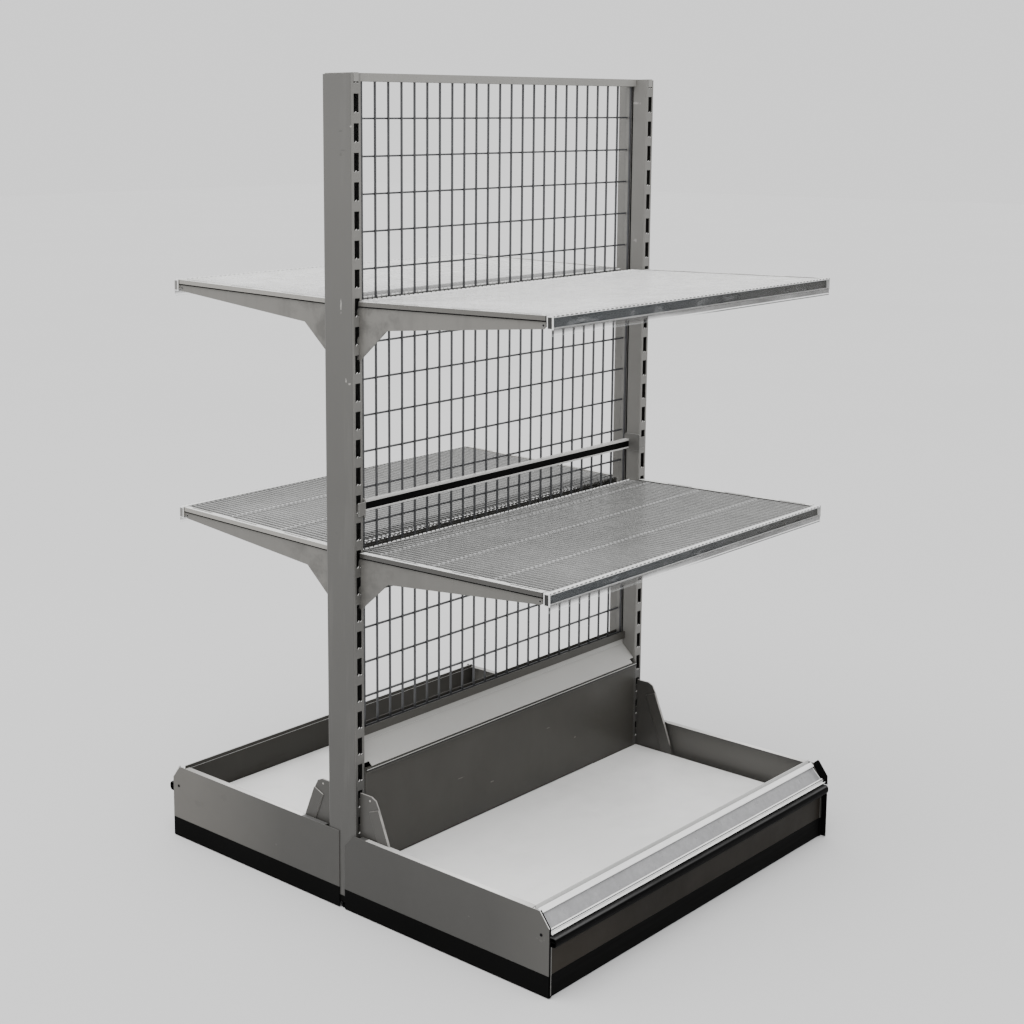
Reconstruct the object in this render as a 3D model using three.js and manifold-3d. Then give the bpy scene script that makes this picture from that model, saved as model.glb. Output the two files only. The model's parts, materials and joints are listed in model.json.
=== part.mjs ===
// Double-sided wire shelving: one free-standing bay with a base tray and two wire shelves on each side.
// Millimetres, +Z up, X along the bay, front towards -Y, origin on the floor under the bay's middle.
import * as THREE from "three";
import { mergeVertices } from "three/addons/utils/BufferGeometryUtils.js";
import Module from "manifold-3d";

const wasm = await Module();
wasm.setup();

// Whole bay
const bayLength = 890; // over the outer faces of the two uprights
const uprightTop = 1520;
const fit = 0.3; // gap between two pieces that seat on each other
const overrun = 4; // how far a cut or a fused end runs past the surface it meets

// Slotted uprights, roll-formed from sheet
const uprightWidth = 25; // along the bay
const uprightDepth = 70; // front to back
const uprightSheet = 2;
const uprightSeam = 4; // open seam between the two lips
const uprightBend = 3; // outer radius of the folds
const uprightBottom = 25;
const slotWidth = 12.5;
const slotHeight = 33;
const slotPeak = 3; // height of the middle tooth in each slot's lower edge
const slotPitch = 50;
const lowestSlotTop = 136;
const topNotchDepth = 17; // the open notch at the upright's top
const topBridge = 10; // least sheet between the highest slot and the notch

// Plastic foot under each upright
const plugBottom = 12;
const plugRise = 20; // how far the plug's core stands inside the upright
const glideRadius = 11;
const glideHeight = 5;
const glideStud = 5;

// Top and bottom rails that hold the wire panel
const railFront = 8; // in front of the bay's middle plane
const railBack = 15;
const railSheet = 1.5;
const topRailDepth = 12.5;
const bottomRailBottom = 322;
const bottomRailHeight = 16;
const strapReach = 10; // how far the end strap lies on the rail
const tonguePlay = 0.3;
const tongueHeight = 12;
const tongueDepth = 4;

// Wire panel
const panelWire = 3.3;
const panelPitchX = 34.3;
const panelPitchZ = 66;
const panelEndGap = 20; // least room between the end bars and the first upright wires
const panelFirstDrop = 76; // the top cross wire, under the top of the uprights
const panelBarWidth = 3;
const panelBarFront = 2.2; // behind the bay's middle plane
const panelBarDepth = 11;
const panelWireSet = 4.2; // the upright wires, in front of the bar's back edge
const panelLowRise = 7.5; // the lowest cross wire, above the bars' lower ends

// Crossbar with its insert
const crossbarSlot = 13; // counted from the lowest slot
const crossbarDrop = 20; // under the slot's top
const crossbarHeight = 20;
const crossbarFront = 10;
const crossbarDepth = 9.5;
const crossbarSheet = 1.5;
const crossbarTopLip = 4;
const crossbarLowLip = 3;
const hookPlateSheet = 2.5;
const hookPlateBelow = 4;
const hookPlateAbove = 12;
const hookPlateRound = 5;
const hookReturnInset = 6; // the return strip, in from the plate's top and bottom
const hookWidth = 5;

// Hooks of brackets, legs and crossbar
const neckHeight = 13;
const hookDrop = 8;
const hookDepth = 3;

// Shelf brackets
const bracketSheet = 2.3;
const bracketFoot = 105; // under the deck's top at the upright
const bracketElbowOut = 67;
const bracketElbowDown = 46;
const bracketTipDown = 22;
const bracketTipRound = 4;
const lugHeight = 8;

// Shelf decks
const shelfReach = 455; // from the bay's middle plane
const shelfRise = 8; // the deck's front edge over its back edge
const middleShelfSlot = 11;
const topShelfSlot = 20;
const shelfUnderSlot = 6; // the deck's top under the top of its slot
const deckGap = 1; // to the slotted face
const deckWire = 3.2;
const deckWires = 69;
const supportWire = 4;
const capSheet = 1.5;
const capPlay = 0.7; // between the cap channel and the bracket in it
const capHeight = 8;
const capFlange = 6;
const capSlotWidth = 3.5;
const capSlotLength = 60;
const frontBar = 4;
const frontBarHeight = 18;
const supportShares = [0.02, 0.07, 0.37, 0.7]; // of the deck's depth
const capSlotShares = [0.247, 0.577, 0.88]; // of the deck's depth

// Ticket rail and clear flap on each shelf
const ticketHeight = 22;
const ticketDepth = 9;
const ticketSheet = 1.4;
const ticketLip = 3.5;
const ticketLowLip = 3;
const flapSheet = 1;
const flapHeight = 31;

// Base tray
const trayReach = 485;
const trayGap = 14; // between the front and the back side panels
const panelStand = 2; // the side panels' outer faces past the uprights
const panelSheet = 1.5;
const panelTop = 150;
const plinthTop = 40;
const plinthFloorGap = 1;
const panelFlange = 12.5;
const panelFlangeStart = 45;
const panelFlangeEndIn = 37; // back from the tray's front
const panelNotchEnd = 112; // the flange is narrow up to here, beside the leg's gusset
const panelNotchDepth = 2.6;
const panelReturn = 8;
const panelReturnTop = 108;
const chamferOut = 20;
const chamferDown = 26;
const rearChamferOut = 22;
const rearChamferDown = 25;

// Base deck, riser and cover
const baseDeckTop = 84;
const baseDeckSheet = 1.5;
const baseDeckGap = 1.5;
const baseDeckFold = 18;
const baseDeckSideGap = 3.1; // to the legs' plates
const riserSheet = 1.2;
const riserFoldOut = 4; // the fold along the riser's top, past its face
const riserFoldDown = 8;
const riserTop = 276;
const coverSheet = 1.2;
const coverHalfGap = 1; // from the bay's middle plane
const coverShoulder = 310;
const coverNotch = 14;
const turnedSteps = 8; // sides of the round studs and feet

// Fascia, slanted ticket rail and bumper
const fasciaSheet = 1.2;
const fasciaFold = 14;
const slantTopIn = 27; // the ticket rail's upper outer edge, back from the tray's front
const slantTopZ = 151;
const slantWidth = 48;
const slantDepth = 6;
const slantSheet = 1.5;
const slantTopBand = 10;
const slantLowBand = 8;
const slantRidge = 2.5;
const slantInset = 2.5; // from the side panels' inner faces
const bumperDepth = 15;
const bumperHeight = 18;
const bumperMiddle = 102;
const bumperWall = 2;

// Base legs and levelling feet
const legSheet = 3;
const legBottom = 30;
const legNose = 15;
const legShelf = 25; // the arm's flange that carries the deck
const legShelfSheet = 3;
const gussetTop = 231;
const gussetTopOut = 29; // these lengths are counted from the slotted face
const gussetCornerOut = 40;
const gussetCornerDown = 5;
const gussetEdgeOut = 48;
const gussetEdgeDown = 20;
const gussetMidOut = 72;
const gussetMidDown = 79;
const gussetLowOut = 96;
const gussetLowDown = 146;
const hemWidth = 25;
const hemSheet = 2.5;
const footTab = 30;
const footTabSheet = 3;
const footBack = 45; // the levelling foot, back from the tray's front
const footIn = 17;
const footRadius = 16;
const footRim = 4;
const footCone = 9;
const footStud = 5;
const footStudTop = 48;
const footNut = 8.5;
const footNutHeight = 7;

// Values that follow
const footOut = trayReach - footBack;
const halfBay = bayLength / 2;
const innerFace = halfBay - uprightWidth;
const uprightMiddle = halfBay - uprightWidth / 2;
const slottedFace = uprightDepth / 2;
const halfSpan = innerFace - fit; // pieces that stand between the uprights
const panelInner = halfBay + panelStand - panelSheet;
const slotTopZ = (index) => lowestSlotTop + slotPitch * index;
const slotBottomZ = (index) => slotTopZ(index) - slotHeight;
const slotCount =
  Math.floor((uprightTop - topNotchDepth - topBridge - lowestSlotTop) / slotPitch) + 1;

// Materials
const finish = (color, roughness, metalness, more = {}) =>
  new THREE.MeshStandardMaterial({ color, roughness, metalness, ...more });
const greyPaint = () => finish(0x8d8b86, 0.5, 0.3);
const panelPaint = () => finish(0x84817b, 0.5, 0.3);
const darkPaint = () => finish(0x4a4947, 0.55, 0.2);
const brownPaint = () => finish(0x3e3833, 0.5, 0.2);
const lightPaint = () => finish(0xd0cfcb, 0.4, 0.3);
const blackPlastic = () => finish(0x121212, 0.45, 0);
const wireSteel = () => finish(0x9a9a98, 0.35, 0.8);
const panelWireSteel = () => finish(0x55565a, 0.4, 0.7);
const greyPlastic = () => finish(0xa6a6a4, 0.35, 0);
const ticketPlastic = () => finish(0x505356, 0.35, 0);
const clearPlastic = () => finish(0xe8ecec, 0.1, 0, { transparent: true, opacity: 0.35 });

// A closed geometry as a solid for booleans.
function solidOf(geometry) {
  const bare = geometry.index ? geometry.clone() : mergeVertices(stripped(geometry));
  const merged = mergeVertices(stripped(bare));
  return new wasm.Manifold(
    new wasm.Mesh({
      numProp: 3,
      vertProperties: new Float32Array(merged.attributes.position.array),
      triVerts: new Uint32Array(merged.index.array),
    }),
  );
}

function stripped(geometry) {
  geometry.deleteAttribute("normal");
  geometry.deleteAttribute("uv");
  return geometry;
}

function geometryOf(solid) {
  const { vertProperties, triVerts, numProp } = solid.getMesh();
  const geometry = new THREE.BufferGeometry();
  geometry.setAttribute("position", new THREE.BufferAttribute(vertProperties, numProp));
  geometry.setIndex(new THREE.BufferAttribute(triVerts, 1));
  const flat = geometry.toNonIndexed();
  flat.computeVertexNormals();
  return flat;
}

const join = (solids) => solids.reduce((whole, solid) => whole.add(solid));

// A box between two corners.
function block([x0, y0, z0], [x1, y1, z1]) {
  const geometry = new THREE.BoxGeometry(x1 - x0, y1 - y0, z1 - z0);
  geometry.translate((x0 + x1) / 2, (y0 + y1) / 2, (z0 + z1) / 2);
  return solidOf(geometry);
}

// A closed outline pushed along an axis from one place to another.
function prism(outline, axis, from, to, holes = []) {
  const shape = new THREE.Shape(outline);
  shape.holes = holes.map((hole) => new THREE.Path(hole));
  const geometry = new THREE.ExtrudeGeometry(shape, { depth: to - from, bevelEnabled: false });
  geometry.translate(0, 0, from);
  if (axis === "x") {
    // outline in (y, z)
    geometry.applyMatrix4(
      new THREE.Matrix4().makeBasis(
        new THREE.Vector3(0, 1, 0),
        new THREE.Vector3(0, 0, 1),
        new THREE.Vector3(1, 0, 0),
      ),
    );
  }
  if (axis === "y") {
    // outline in (z, x)
    geometry.applyMatrix4(
      new THREE.Matrix4().makeBasis(
        new THREE.Vector3(0, 0, 1),
        new THREE.Vector3(1, 0, 0),
        new THREE.Vector3(0, 1, 0),
      ),
    );
  }
  return solidOf(geometry);
}

const at = (a, b) => new THREE.Vector2(a, b);

// The outline of a sheet folded along a line of points, with the thickness on the line's left.
function folded(points, thickness) {
  const offset = points.map((point, i) => {
    const before = points[Math.max(i - 1, 0)];
    const after = points[Math.min(i + 1, points.length - 1)];
    const into = i > 0 ? point.clone().sub(before).normalize() : null;
    const out = i < points.length - 1 ? after.clone().sub(point).normalize() : null;
    const left = (v) => at(-v.y, v.x);
    if (!into || !out) return point.clone().addScaledVector(left(into ?? out), thickness);
    const mitre = left(into).add(left(out)).normalize();
    return point.clone().addScaledVector(mitre, thickness / mitre.dot(left(out)));
  });
  return [...points, ...offset.reverse()];
}

// An outline whose corners are cut back as short arcs.
function rounded(points, radius, steps) {
  return points.flatMap((corner, i) => {
    const before = points[(i + points.length - 1) % points.length];
    const after = points[(i + 1) % points.length];
    const start = corner.clone().add(before.clone().sub(corner).setLength(radius));
    const end = corner.clone().add(after.clone().sub(corner).setLength(radius));
    return new THREE.QuadraticBezierCurve(start, corner, end).getPoints(steps);
  });
}

function addMesh(parent, name, solid, material) {
  const mesh = new THREE.Mesh(geometryOf(solid), material);
  mesh.name = name;
  parent.add(mesh);
  return mesh;
}

// A slot's outline in (x, z): straight sides and a lower edge with two dips and a middle tooth.
function slotOutline(top, bottom) {
  const half = slotWidth / 2;
  return [
    at(-half, top),
    at(-half, bottom + slotPeak / 2),
    at(-half / 2, bottom),
    at(0, bottom + slotPeak),
    at(half / 2, bottom),
    at(half, bottom + slotPeak / 2),
    at(half, top),
  ];
}

// An upright with its web at -X and its lips at +X, centred on the origin.
function uprightSolid() {
  const x = uprightWidth / 2;
  const y = slottedFace;
  const t = uprightSheet;
  const seam = uprightSeam / 2;
  const outer = rounded(
    [at(-x, y), at(-x, -y), at(x, -y), at(x, y)],
    uprightBend,
    2,
  );
  const inner = [at(-x + t, -y + t), at(x - t, -y + t), at(x - t, y - t), at(-x + t, y - t)];
  const shell = prism(outer, "z", uprightBottom, uprightTop, [inner]);
  const cuts = [block([0, -seam, -overrun], [x + overrun, seam, uprightTop + overrun])];
  for (let i = 0; i < slotCount; i += 1) {
    cuts.push(slotCutter(slotTopZ(i), slotBottomZ(i)));
  }
  cuts.push(slotCutter(uprightTop + overrun, uprightTop - topNotchDepth));
  return shell.subtract(join(cuts));
}

// One slot cut through the front and the back flange at once.
function slotCutter(top, bottom) {
  const outline = slotOutline(top, bottom).map((p) => at(p.y, p.x));
  return prism(outline, "y", -slottedFace - overrun, slottedFace + overrun);
}

function plugSolid() {
  const x = uprightWidth / 2;
  const y = slottedFace;
  const wall = uprightSheet + fit;
  const skirt = prism(
    rounded([at(-x, y), at(-x, -y), at(x, -y), at(x, y)], uprightBend, 2),
    "z",
    plugBottom,
    uprightBottom - fit,
  );
  const core = block(
    [-x + wall, -y + wall, plugBottom + uprightSheet],
    [x - wall, y - wall, uprightBottom + plugRise],
  );
  const glide = new THREE.LatheGeometry(
    [
      at(0, 0),
      at(glideRadius, 0),
      at(glideRadius, glideHeight / 2),
      at(glideStud, glideHeight),
      at(glideStud, plugBottom + uprightSheet),
      at(0, plugBottom + uprightSheet),
    ],
    turnedSteps,
  );
  glide.rotateX(Math.PI / 2);
  return join([skirt, core, solidOf(glide)]);
}

// A hook in the (y, z) plane that passes through a slot's flange and drops behind it.
function hookSolid(x0, x1, neckBottom, reach) {
  const face = slottedFace - uprightSheet - fit;
  return prism(
    [
      at(slottedFace + reach, neckBottom),
      at(face, neckBottom),
      at(face, neckBottom - hookDrop),
      at(face - hookDepth, neckBottom - hookDrop),
      at(face - hookDepth, neckBottom + neckHeight / 2),
      at(face, neckBottom + neckHeight),
      at(slottedFace + reach, neckBottom + neckHeight),
    ].reverse(),
    "x",
    x0,
    x1,
  );
}

// Rails and wire panel, in the bay's own frame.
function topRailSolid() {
  const low = uprightTop - topRailDepth;
  const high = uprightTop + fit + railSheet;
  const channel = prism(
    folded([at(-railFront, low), at(-railFront, high), at(railBack, high), at(railBack, low)].reverse(), railSheet),
    "x",
    -halfSpan,
    halfSpan,
  );
  const pieces = [channel];
  for (const side of [-1, 1]) {
    const near = uprightMiddle - slotWidth / 2 + fit;
    const far = uprightMiddle + slotWidth / 2 - fit;
    const strap = uprightTop + fit;
    const reach = slottedFace + fit;
    const span = (a, b) => [Math.min(side * a, side * b), Math.max(side * a, side * b)];
    const [s0, s1] = span(halfSpan - strapReach, far);
    pieces.push(block([s0, -railFront, strap], [s1, railBack, high]));
    const [c0, c1] = span(near, far);
    pieces.push(block([c0, -reach, strap], [c1, reach, high]));
    const notch = uprightTop - topNotchDepth + slotPeak + fit;
    const back = slottedFace - uprightSheet - fit;
    pieces.push(block([c0, -reach, notch], [c1, -back, high]));
    pieces.push(block([c0, back, notch], [c1, reach, high]));
  }
  return join(pieces);
}

function bottomRailSolid() {
  const low = bottomRailBottom;
  const high = bottomRailBottom + bottomRailHeight;
  const pieces = [
    prism(
      folded([at(-railFront, high), at(-railFront, low), at(railBack, low), at(railBack, high)], railSheet),
      "x",
      -halfSpan,
      halfSpan,
    ),
  ];
  const half = uprightSeam / 2 - tonguePlay;
  const tip = innerFace + uprightSheet + tongueDepth;
  const root = halfSpan - strapReach;
  pieces.push(block([-tip, -half, low], [-root, half, low + tongueHeight]));
  pieces.push(block([root, -half, low], [tip, half, low + tongueHeight]));
  return join(pieces);
}

function wirePanelSolid() {
  const low = bottomRailBottom + railSheet + fit;
  const high = uprightTop;
  const back = panelBarFront + panelBarDepth;
  const front = back - panelWireSet - panelWire;
  const bars = [-1, 1].map((side) => {
    const x0 = Math.min(side * halfSpan, side * (halfSpan - panelBarWidth));
    return block([x0, panelBarFront, low], [x0 + panelBarWidth, back, high]);
  });
  const inside = halfSpan - panelBarWidth / 2;
  const across = (y, z) => block([-inside, y, z], [inside, y + panelWire, z + panelWire]);
  const foot = low + panelLowRise;
  const pieces = [...bars, across(front, foot), across(front, high - 2 * panelWire)];
  const reach = halfSpan - panelBarWidth - panelEndGap;
  const each = Math.floor(reach / panelPitchX); // upright wires on each side of the middle one
  for (let i = -each; i <= each; i += 1) {
    const x = i * panelPitchX - panelWire / 2;
    pieces.push(
      block(
        [x, front, foot + panelWire / 2],
        [x + panelWire, front + panelWire, high - (3 * panelWire) / 2],
      ),
    );
  }
  const behind = front + panelWire + fit;
  const first = uprightTop - panelFirstDrop;
  const lowest = bottomRailBottom + bottomRailHeight + panelWire;
  for (let z = first; z > lowest; z -= panelPitchZ) {
    pieces.push(across(behind, z - panelWire / 2));
  }
  return join(pieces);
}

// Crossbar, hooked in the front slots.
function crossbarSolid() {
  const high = slotTopZ(crossbarSlot) - crossbarDrop;
  const low = high - crossbarHeight;
  const front = -crossbarFront;
  const back = front + crossbarDepth;
  const channel = prism(
    folded(
      [
        at(front, low + crossbarLowLip),
        at(front, low),
        at(back, low),
        at(back, high),
        at(front, high),
        at(front, high - crossbarTopLip),
      ],
      crossbarSheet,
    ),
    "x",
    -halfSpan + hookPlateSheet / 2,
    halfSpan - hookPlateSheet / 2,
  );
  const pieces = [channel];
  const face = -slottedFace - fit;
  const edge = face - hookPlateSheet;
  for (const side of [-1, 1]) {
    const span = (a, b) => [Math.min(side * a, side * b), Math.max(side * a, side * b)];
    const [p0, p1] = span(halfSpan - hookPlateSheet, halfSpan);
    const bottom = low - hookPlateBelow;
    const top = high + hookPlateAbove;
    const outline = rounded(
      [
        at(edge, bottom),
        at(panelBarFront - fit, bottom),
        at(panelBarFront - fit, top),
        at(edge, top),
      ],
      hookPlateRound,
      2,
    );
    pieces.push(prism(outline, "x", p0, p1));
    const tip = uprightMiddle + hookWidth / 2;
    const [r0, r1] = span(halfSpan - hookPlateSheet, tip);
    pieces.push(
      block([r0, edge, bottom + hookReturnInset], [r1, face, top - hookReturnInset]),
    );
    const neck = slotBottomZ(crossbarSlot) + slotPeak + fit;
    const hook = hookSolid(0, hookWidth, neck, fit + hookPlateSheet / 2);
    pieces.push(hook.rotate([0, 0, 180]).translate([uprightMiddle * side + hookWidth / 2, 0, 0]));
  }
  return join(pieces);
}

function crossbarInsertSolid() {
  const high = slotTopZ(crossbarSlot) - crossbarDrop - crossbarTopLip - fit;
  const low = slotTopZ(crossbarSlot) - crossbarDrop - crossbarHeight + crossbarLowLip + fit;
  const front = -crossbarFront + fit;
  const back = -crossbarFront + crossbarDepth - crossbarSheet - fit;
  const end = halfSpan - hookPlateSheet - fit;
  return block([-end, front, low], [end, back, high]);
}

// Everything below is modelled for a side that faces +Y and turned to its place.
// A shelf bracket, on the side of +X or -X.
function bracketSolid(slot, side) {
  const top = slotTopZ(slot) - shelfUnderSlot;
  const near = uprightMiddle - slotWidth / 2 + fit;
  const x0 = side > 0 ? near : -near - bracketSheet;
  const x1 = x0 + bracketSheet;
  const edge = slottedFace + fit;
  const run = shelfReach - slottedFace;
  const tip = shelfReach - frontBar - fit - bracketSheet;
  const under = capSheet + fit;
  const rise = (y) => (shelfRise * (y - slottedFace)) / run;
  const plate = prism(
    [
      at(edge, top - under + rise(edge)),
      at(edge, top - bracketFoot),
      at(slottedFace + bracketElbowOut, top - bracketElbowDown),
      at(tip - bracketTipRound, top + rise(tip) - bracketTipDown),
      at(tip, top + rise(tip) - bracketTipDown + bracketTipRound),
      at(tip, top - under + rise(tip)),
    ],
    "x",
    x0,
    x1,
  );
  const neck = slotPeak / 2 + fit;
  const root = 2 * bracketSheet;
  const upper = hookSolid(x0, x1, slotBottomZ(slot) + neck, root);
  const lower = hookSolid(x0, x1, slotBottomZ(slot - 1) + neck, root);
  const lugFace = slottedFace - uprightSheet - hookDepth;
  const lugTop = slotTopZ(slot - 2) - fit;
  const lug = block([x0, lugFace, lugTop - lugHeight], [x1, edge + root, lugTop]);
  return join([plate, upper, lower, lug]);
}

// The wire deck in its own frame: y runs out from the slotted face and z is 0 on the top.
const deckRun = Math.hypot(shelfReach - slottedFace, shelfRise);
const capInner = uprightMiddle - slotWidth / 2 + fit - capPlay;
const capOuter = capInner + bracketSheet + 2 * capPlay;

function shelfDeckSolid() {
  const start = deckGap;
  const pieces = [];
  for (const side of [-1, 1]) {
    const outline = folded(
      [
        at(0, capInner - capSheet - capFlange),
        at(0, capOuter + capSheet),
        at(-capHeight, capOuter + capSheet),
      ],
      capSheet,
    );
    const cap = prism(outline.reverse(), "y", start, deckRun);
    const wall = block(
      [capInner - capSheet, start, -capHeight],
      [capInner, deckRun, -capSheet / 2],
    );
    const slots = capSlotShares.map((share) => {
      const middle = deckRun * share;
      return block(
        [capInner - capSheet - capSlotWidth, middle - capSlotLength / 2, -capSheet - overrun],
        [capInner - capSheet, middle + capSlotLength / 2, overrun],
      );
    });
    const rail = join([cap, wall]).subtract(join(slots));
    pieces.push(side > 0 ? rail : rail.mirror([1, 0, 0]));
  }
  const end = capInner - capSheet / 2;
  for (const share of supportShares) {
    const y = start + deckRun * share;
    const z = -deckWire - fit;
    pieces.push(block([-end, y, z - supportWire], [end, y + supportWire, z]));
  }
  const barEnd = capOuter + capSheet;
  pieces.push(
    block([-barEnd, deckRun - frontBar, -frontBarHeight], [barEnd, deckRun, 0]),
  );
  const span = capInner - capSheet - capFlange;
  const pitch = (2 * span) / (deckWires + 1);
  for (let i = 1; i <= deckWires; i += 1) {
    const x = -span + i * pitch - deckWire / 2;
    pieces.push(
      block([x, start, -deckWire], [x + deckWire, deckRun - frontBar / 2, -fit / 2]),
    );
  }
  return join(pieces);
}

function shelfTicketRailSolid() {
  const back = deckRun + fit;
  const front = back + ticketDepth;
  const lowFront = front - ticketSheet - flapSheet - 2 * fit;
  const outline = folded(
    [
      at(front, -ticketLip),
      at(front, 0),
      at(back, 0),
      at(back, -ticketHeight),
      at(lowFront, -ticketHeight),
      at(lowFront, -ticketHeight + ticketLowLip),
    ],
    ticketSheet,
  );
  const end = capOuter + capSheet;
  return prism(outline, "x", -end, end);
}

function shelfTicketFlapSolid() {
  const face = deckRun + fit + ticketDepth - ticketSheet - fit;
  const end = capOuter + capSheet;
  const top = -ticketSheet - fit;
  const outline = [
    at(face - flapSheet, top - flapHeight),
    at(face, top - flapHeight),
    at(face, top),
    at(face - flapSheet, top),
  ];
  return prism(outline, "x", -end, end);
}

// Side panel of a tray, on the side of +X, with or without the rear chamfer.
function sidePanelSolid(rearChamfer) {
  const back = trayGap / 2;
  const outer = panelInner + panelSheet;
  const rear = rearChamfer
    ? [at(back + rearChamferOut, panelTop), at(back, panelTop - rearChamferDown)]
    : [at(back, panelTop)];
  const plate = prism(
    [
      at(back, plinthTop),
      at(trayReach, plinthTop),
      at(trayReach, panelTop - chamferDown),
      at(trayReach - chamferOut, panelTop),
      ...rear,
    ],
    "x",
    panelInner,
    outer,
  );
  const edge = outer - panelFlange;
  const flange = prism(
    [
      at(outer, panelFlangeStart),
      at(outer, trayReach - panelFlangeEndIn),
      at(edge, trayReach - panelFlangeEndIn),
      at(edge, panelNotchEnd),
      at(edge + panelNotchDepth, panelNotchEnd),
      at(edge + panelNotchDepth, panelFlangeStart),
    ],
    "z",
    panelTop - panelSheet,
    panelTop,
  );
  const turned = block(
    [outer - panelReturn, trayReach - panelSheet, plinthTop],
    [outer, trayReach, panelReturnTop],
  );
  return join([plate, flange, turned]);
}

function sidePlinthSolid() {
  const outer = panelInner + panelSheet;
  const top = plinthTop - fit;
  const plate = block([panelInner, trayGap / 2, plinthFloorGap], [outer, trayReach, top]);
  const turned = block(
    [outer - panelReturn, trayReach - panelSheet, plinthFloorGap],
    [outer, trayReach, top],
  );
  return join([plate, turned]);
}

const fasciaFace = trayReach - panelSheet - fit;
const fasciaEnd = panelInner - fit;

function frontPlinthSolid() {
  const outline = folded(
    [
      at(fasciaFace - fasciaFold, plinthTop - fit),
      at(fasciaFace, plinthTop - fit),
      at(fasciaFace, plinthFloorGap),
    ].reverse(),
    fasciaSheet,
  );
  return prism(outline, "x", -fasciaEnd, fasciaEnd);
}

// The slanted rail's frame: the slant falls outwards at 45 degrees.
const slantStep = Math.SQRT1_2;
const slantPoint = (along, depth) =>
  at(
    trayReach - slantTopIn + (along + depth) * slantStep,
    slantTopZ + (depth - along) * slantStep,
  );

function fasciaSolid() {
  const under = slantPoint(0, -slantDepth - fit);
  const slantSum = under.x + under.y; // y + z is the same all along the slant
  const wall = under.x - fasciaSheet;
  const outline = folded(
    [
      at(fasciaFace - fasciaFold, plinthTop),
      at(fasciaFace, plinthTop),
      at(fasciaFace, slantSum - fasciaFace),
      at(wall, slantSum - wall),
      at(wall, baseDeckTop + fit),
    ],
    fasciaSheet,
  );
  return prism(outline, "x", -fasciaEnd, fasciaEnd);
}

function slantRailSolid() {
  const t = slantSheet;
  const low = slantWidth - slantLowBand;
  const p = (along, depth) => slantPoint(along, depth - slantDepth);
  const outline = [
    p(0, 0),
    p(slantWidth, 0),
    p(slantWidth, slantDepth),
    p(slantWidth - t, slantDepth),
    p(slantWidth - t, t),
    p(low + slantRidge, t),
    p(low + slantRidge, slantDepth - t),
    p(low - slantRidge, slantDepth - t),
    p(low - slantRidge, slantDepth - 2 * t),
    p(low, slantDepth - 2 * t),
    p(low, t),
    p(t, t),
    p(t, slantDepth - t),
    p(slantTopBand, slantDepth - t),
    p(slantTopBand, slantDepth),
    p(0, slantDepth),
  ];
  const end = panelInner - slantInset;
  return prism(outline.reverse(), "x", -end, end);
}

function bumperSolid() {
  const back = trayReach + fit;
  const low = bumperMiddle - bumperHeight / 2;
  const high = bumperMiddle + bumperHeight / 2;
  const w = bumperWall;
  const bulge = bumperDepth / 2;
  const section = (inset) => {
    const b = back + inset;
    const f = back + bumperDepth - inset;
    const l = low + inset;
    const h = high - inset;
    const curve = new THREE.CubicBezierCurve(
      at(b + bulge - inset, l),
      at(f, l),
      at(f, h),
      at(b + bulge - inset, h),
    );
    return [at(b, h), at(b, l), ...curve.getPoints(7)];
  };
  const tube = prism(section(0), "x", -halfBay, halfBay);
  const bore = prism(section(w), "x", -halfBay - overrun, halfBay + overrun);
  const web = block(
    [-halfBay, back + w / 2, bumperMiddle - w / 2],
    [halfBay, back + bumperDepth - 2 * w, bumperMiddle + w / 2],
  );
  return tube.subtract(bore).add(web);
}

// Base deck: a sheet with turned-down edges at the back and the front.
const baseDeckHalf = uprightMiddle - legSheet / 2 - baseDeckSideGap;
const baseDeckBack = slottedFace + baseDeckGap;
const baseDeckFront = slantPoint(0, -slantDepth - fit).x - fasciaSheet - baseDeckGap;

function baseDeckSolid() {
  const outline = folded(
    [
      at(baseDeckFront, baseDeckTop - baseDeckFold),
      at(baseDeckFront, baseDeckTop),
      at(baseDeckBack, baseDeckTop),
      at(baseDeckBack, baseDeckTop - baseDeckFold),
    ],
    baseDeckSheet,
  );
  return prism(outline, "x", -baseDeckHalf, baseDeckHalf);
}

function riserSolid() {
  const top = riserTop - coverSheet - riserSheet;
  const out = slottedFace + riserFoldOut;
  const outline = folded(
    [
      at(slottedFace, baseDeckTop),
      at(slottedFace, top),
      at(out, top),
      at(out, top - riserFoldDown),
    ],
    riserSheet,
  );
  return prism(outline, "x", -halfSpan, halfSpan);
}

function coverSolid() {
  const lip = slottedFace + riserFoldOut;
  const outline = folded(
    [
      at(lip, riserTop),
      at(coverHalfGap + coverSheet, coverShoulder),
      at(coverHalfGap + coverSheet, bottomRailBottom - fit),
    ],
    coverSheet,
  );
  const sheet = prism(outline, "x", -halfSpan, halfSpan);
  const notchZ = riserTop + coverNotch / 2;
  const notches = [-1, 1].map((side) => {
    const x0 = side > 0 ? halfSpan - coverNotch : -halfSpan - overrun;
    return block(
      [x0, slottedFace - coverNotch, riserTop - coverSheet - overrun],
      [x0 + coverNotch + overrun, lip + overrun, notchZ],
    );
  });
  return sheet.subtract(join(notches));
}

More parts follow.
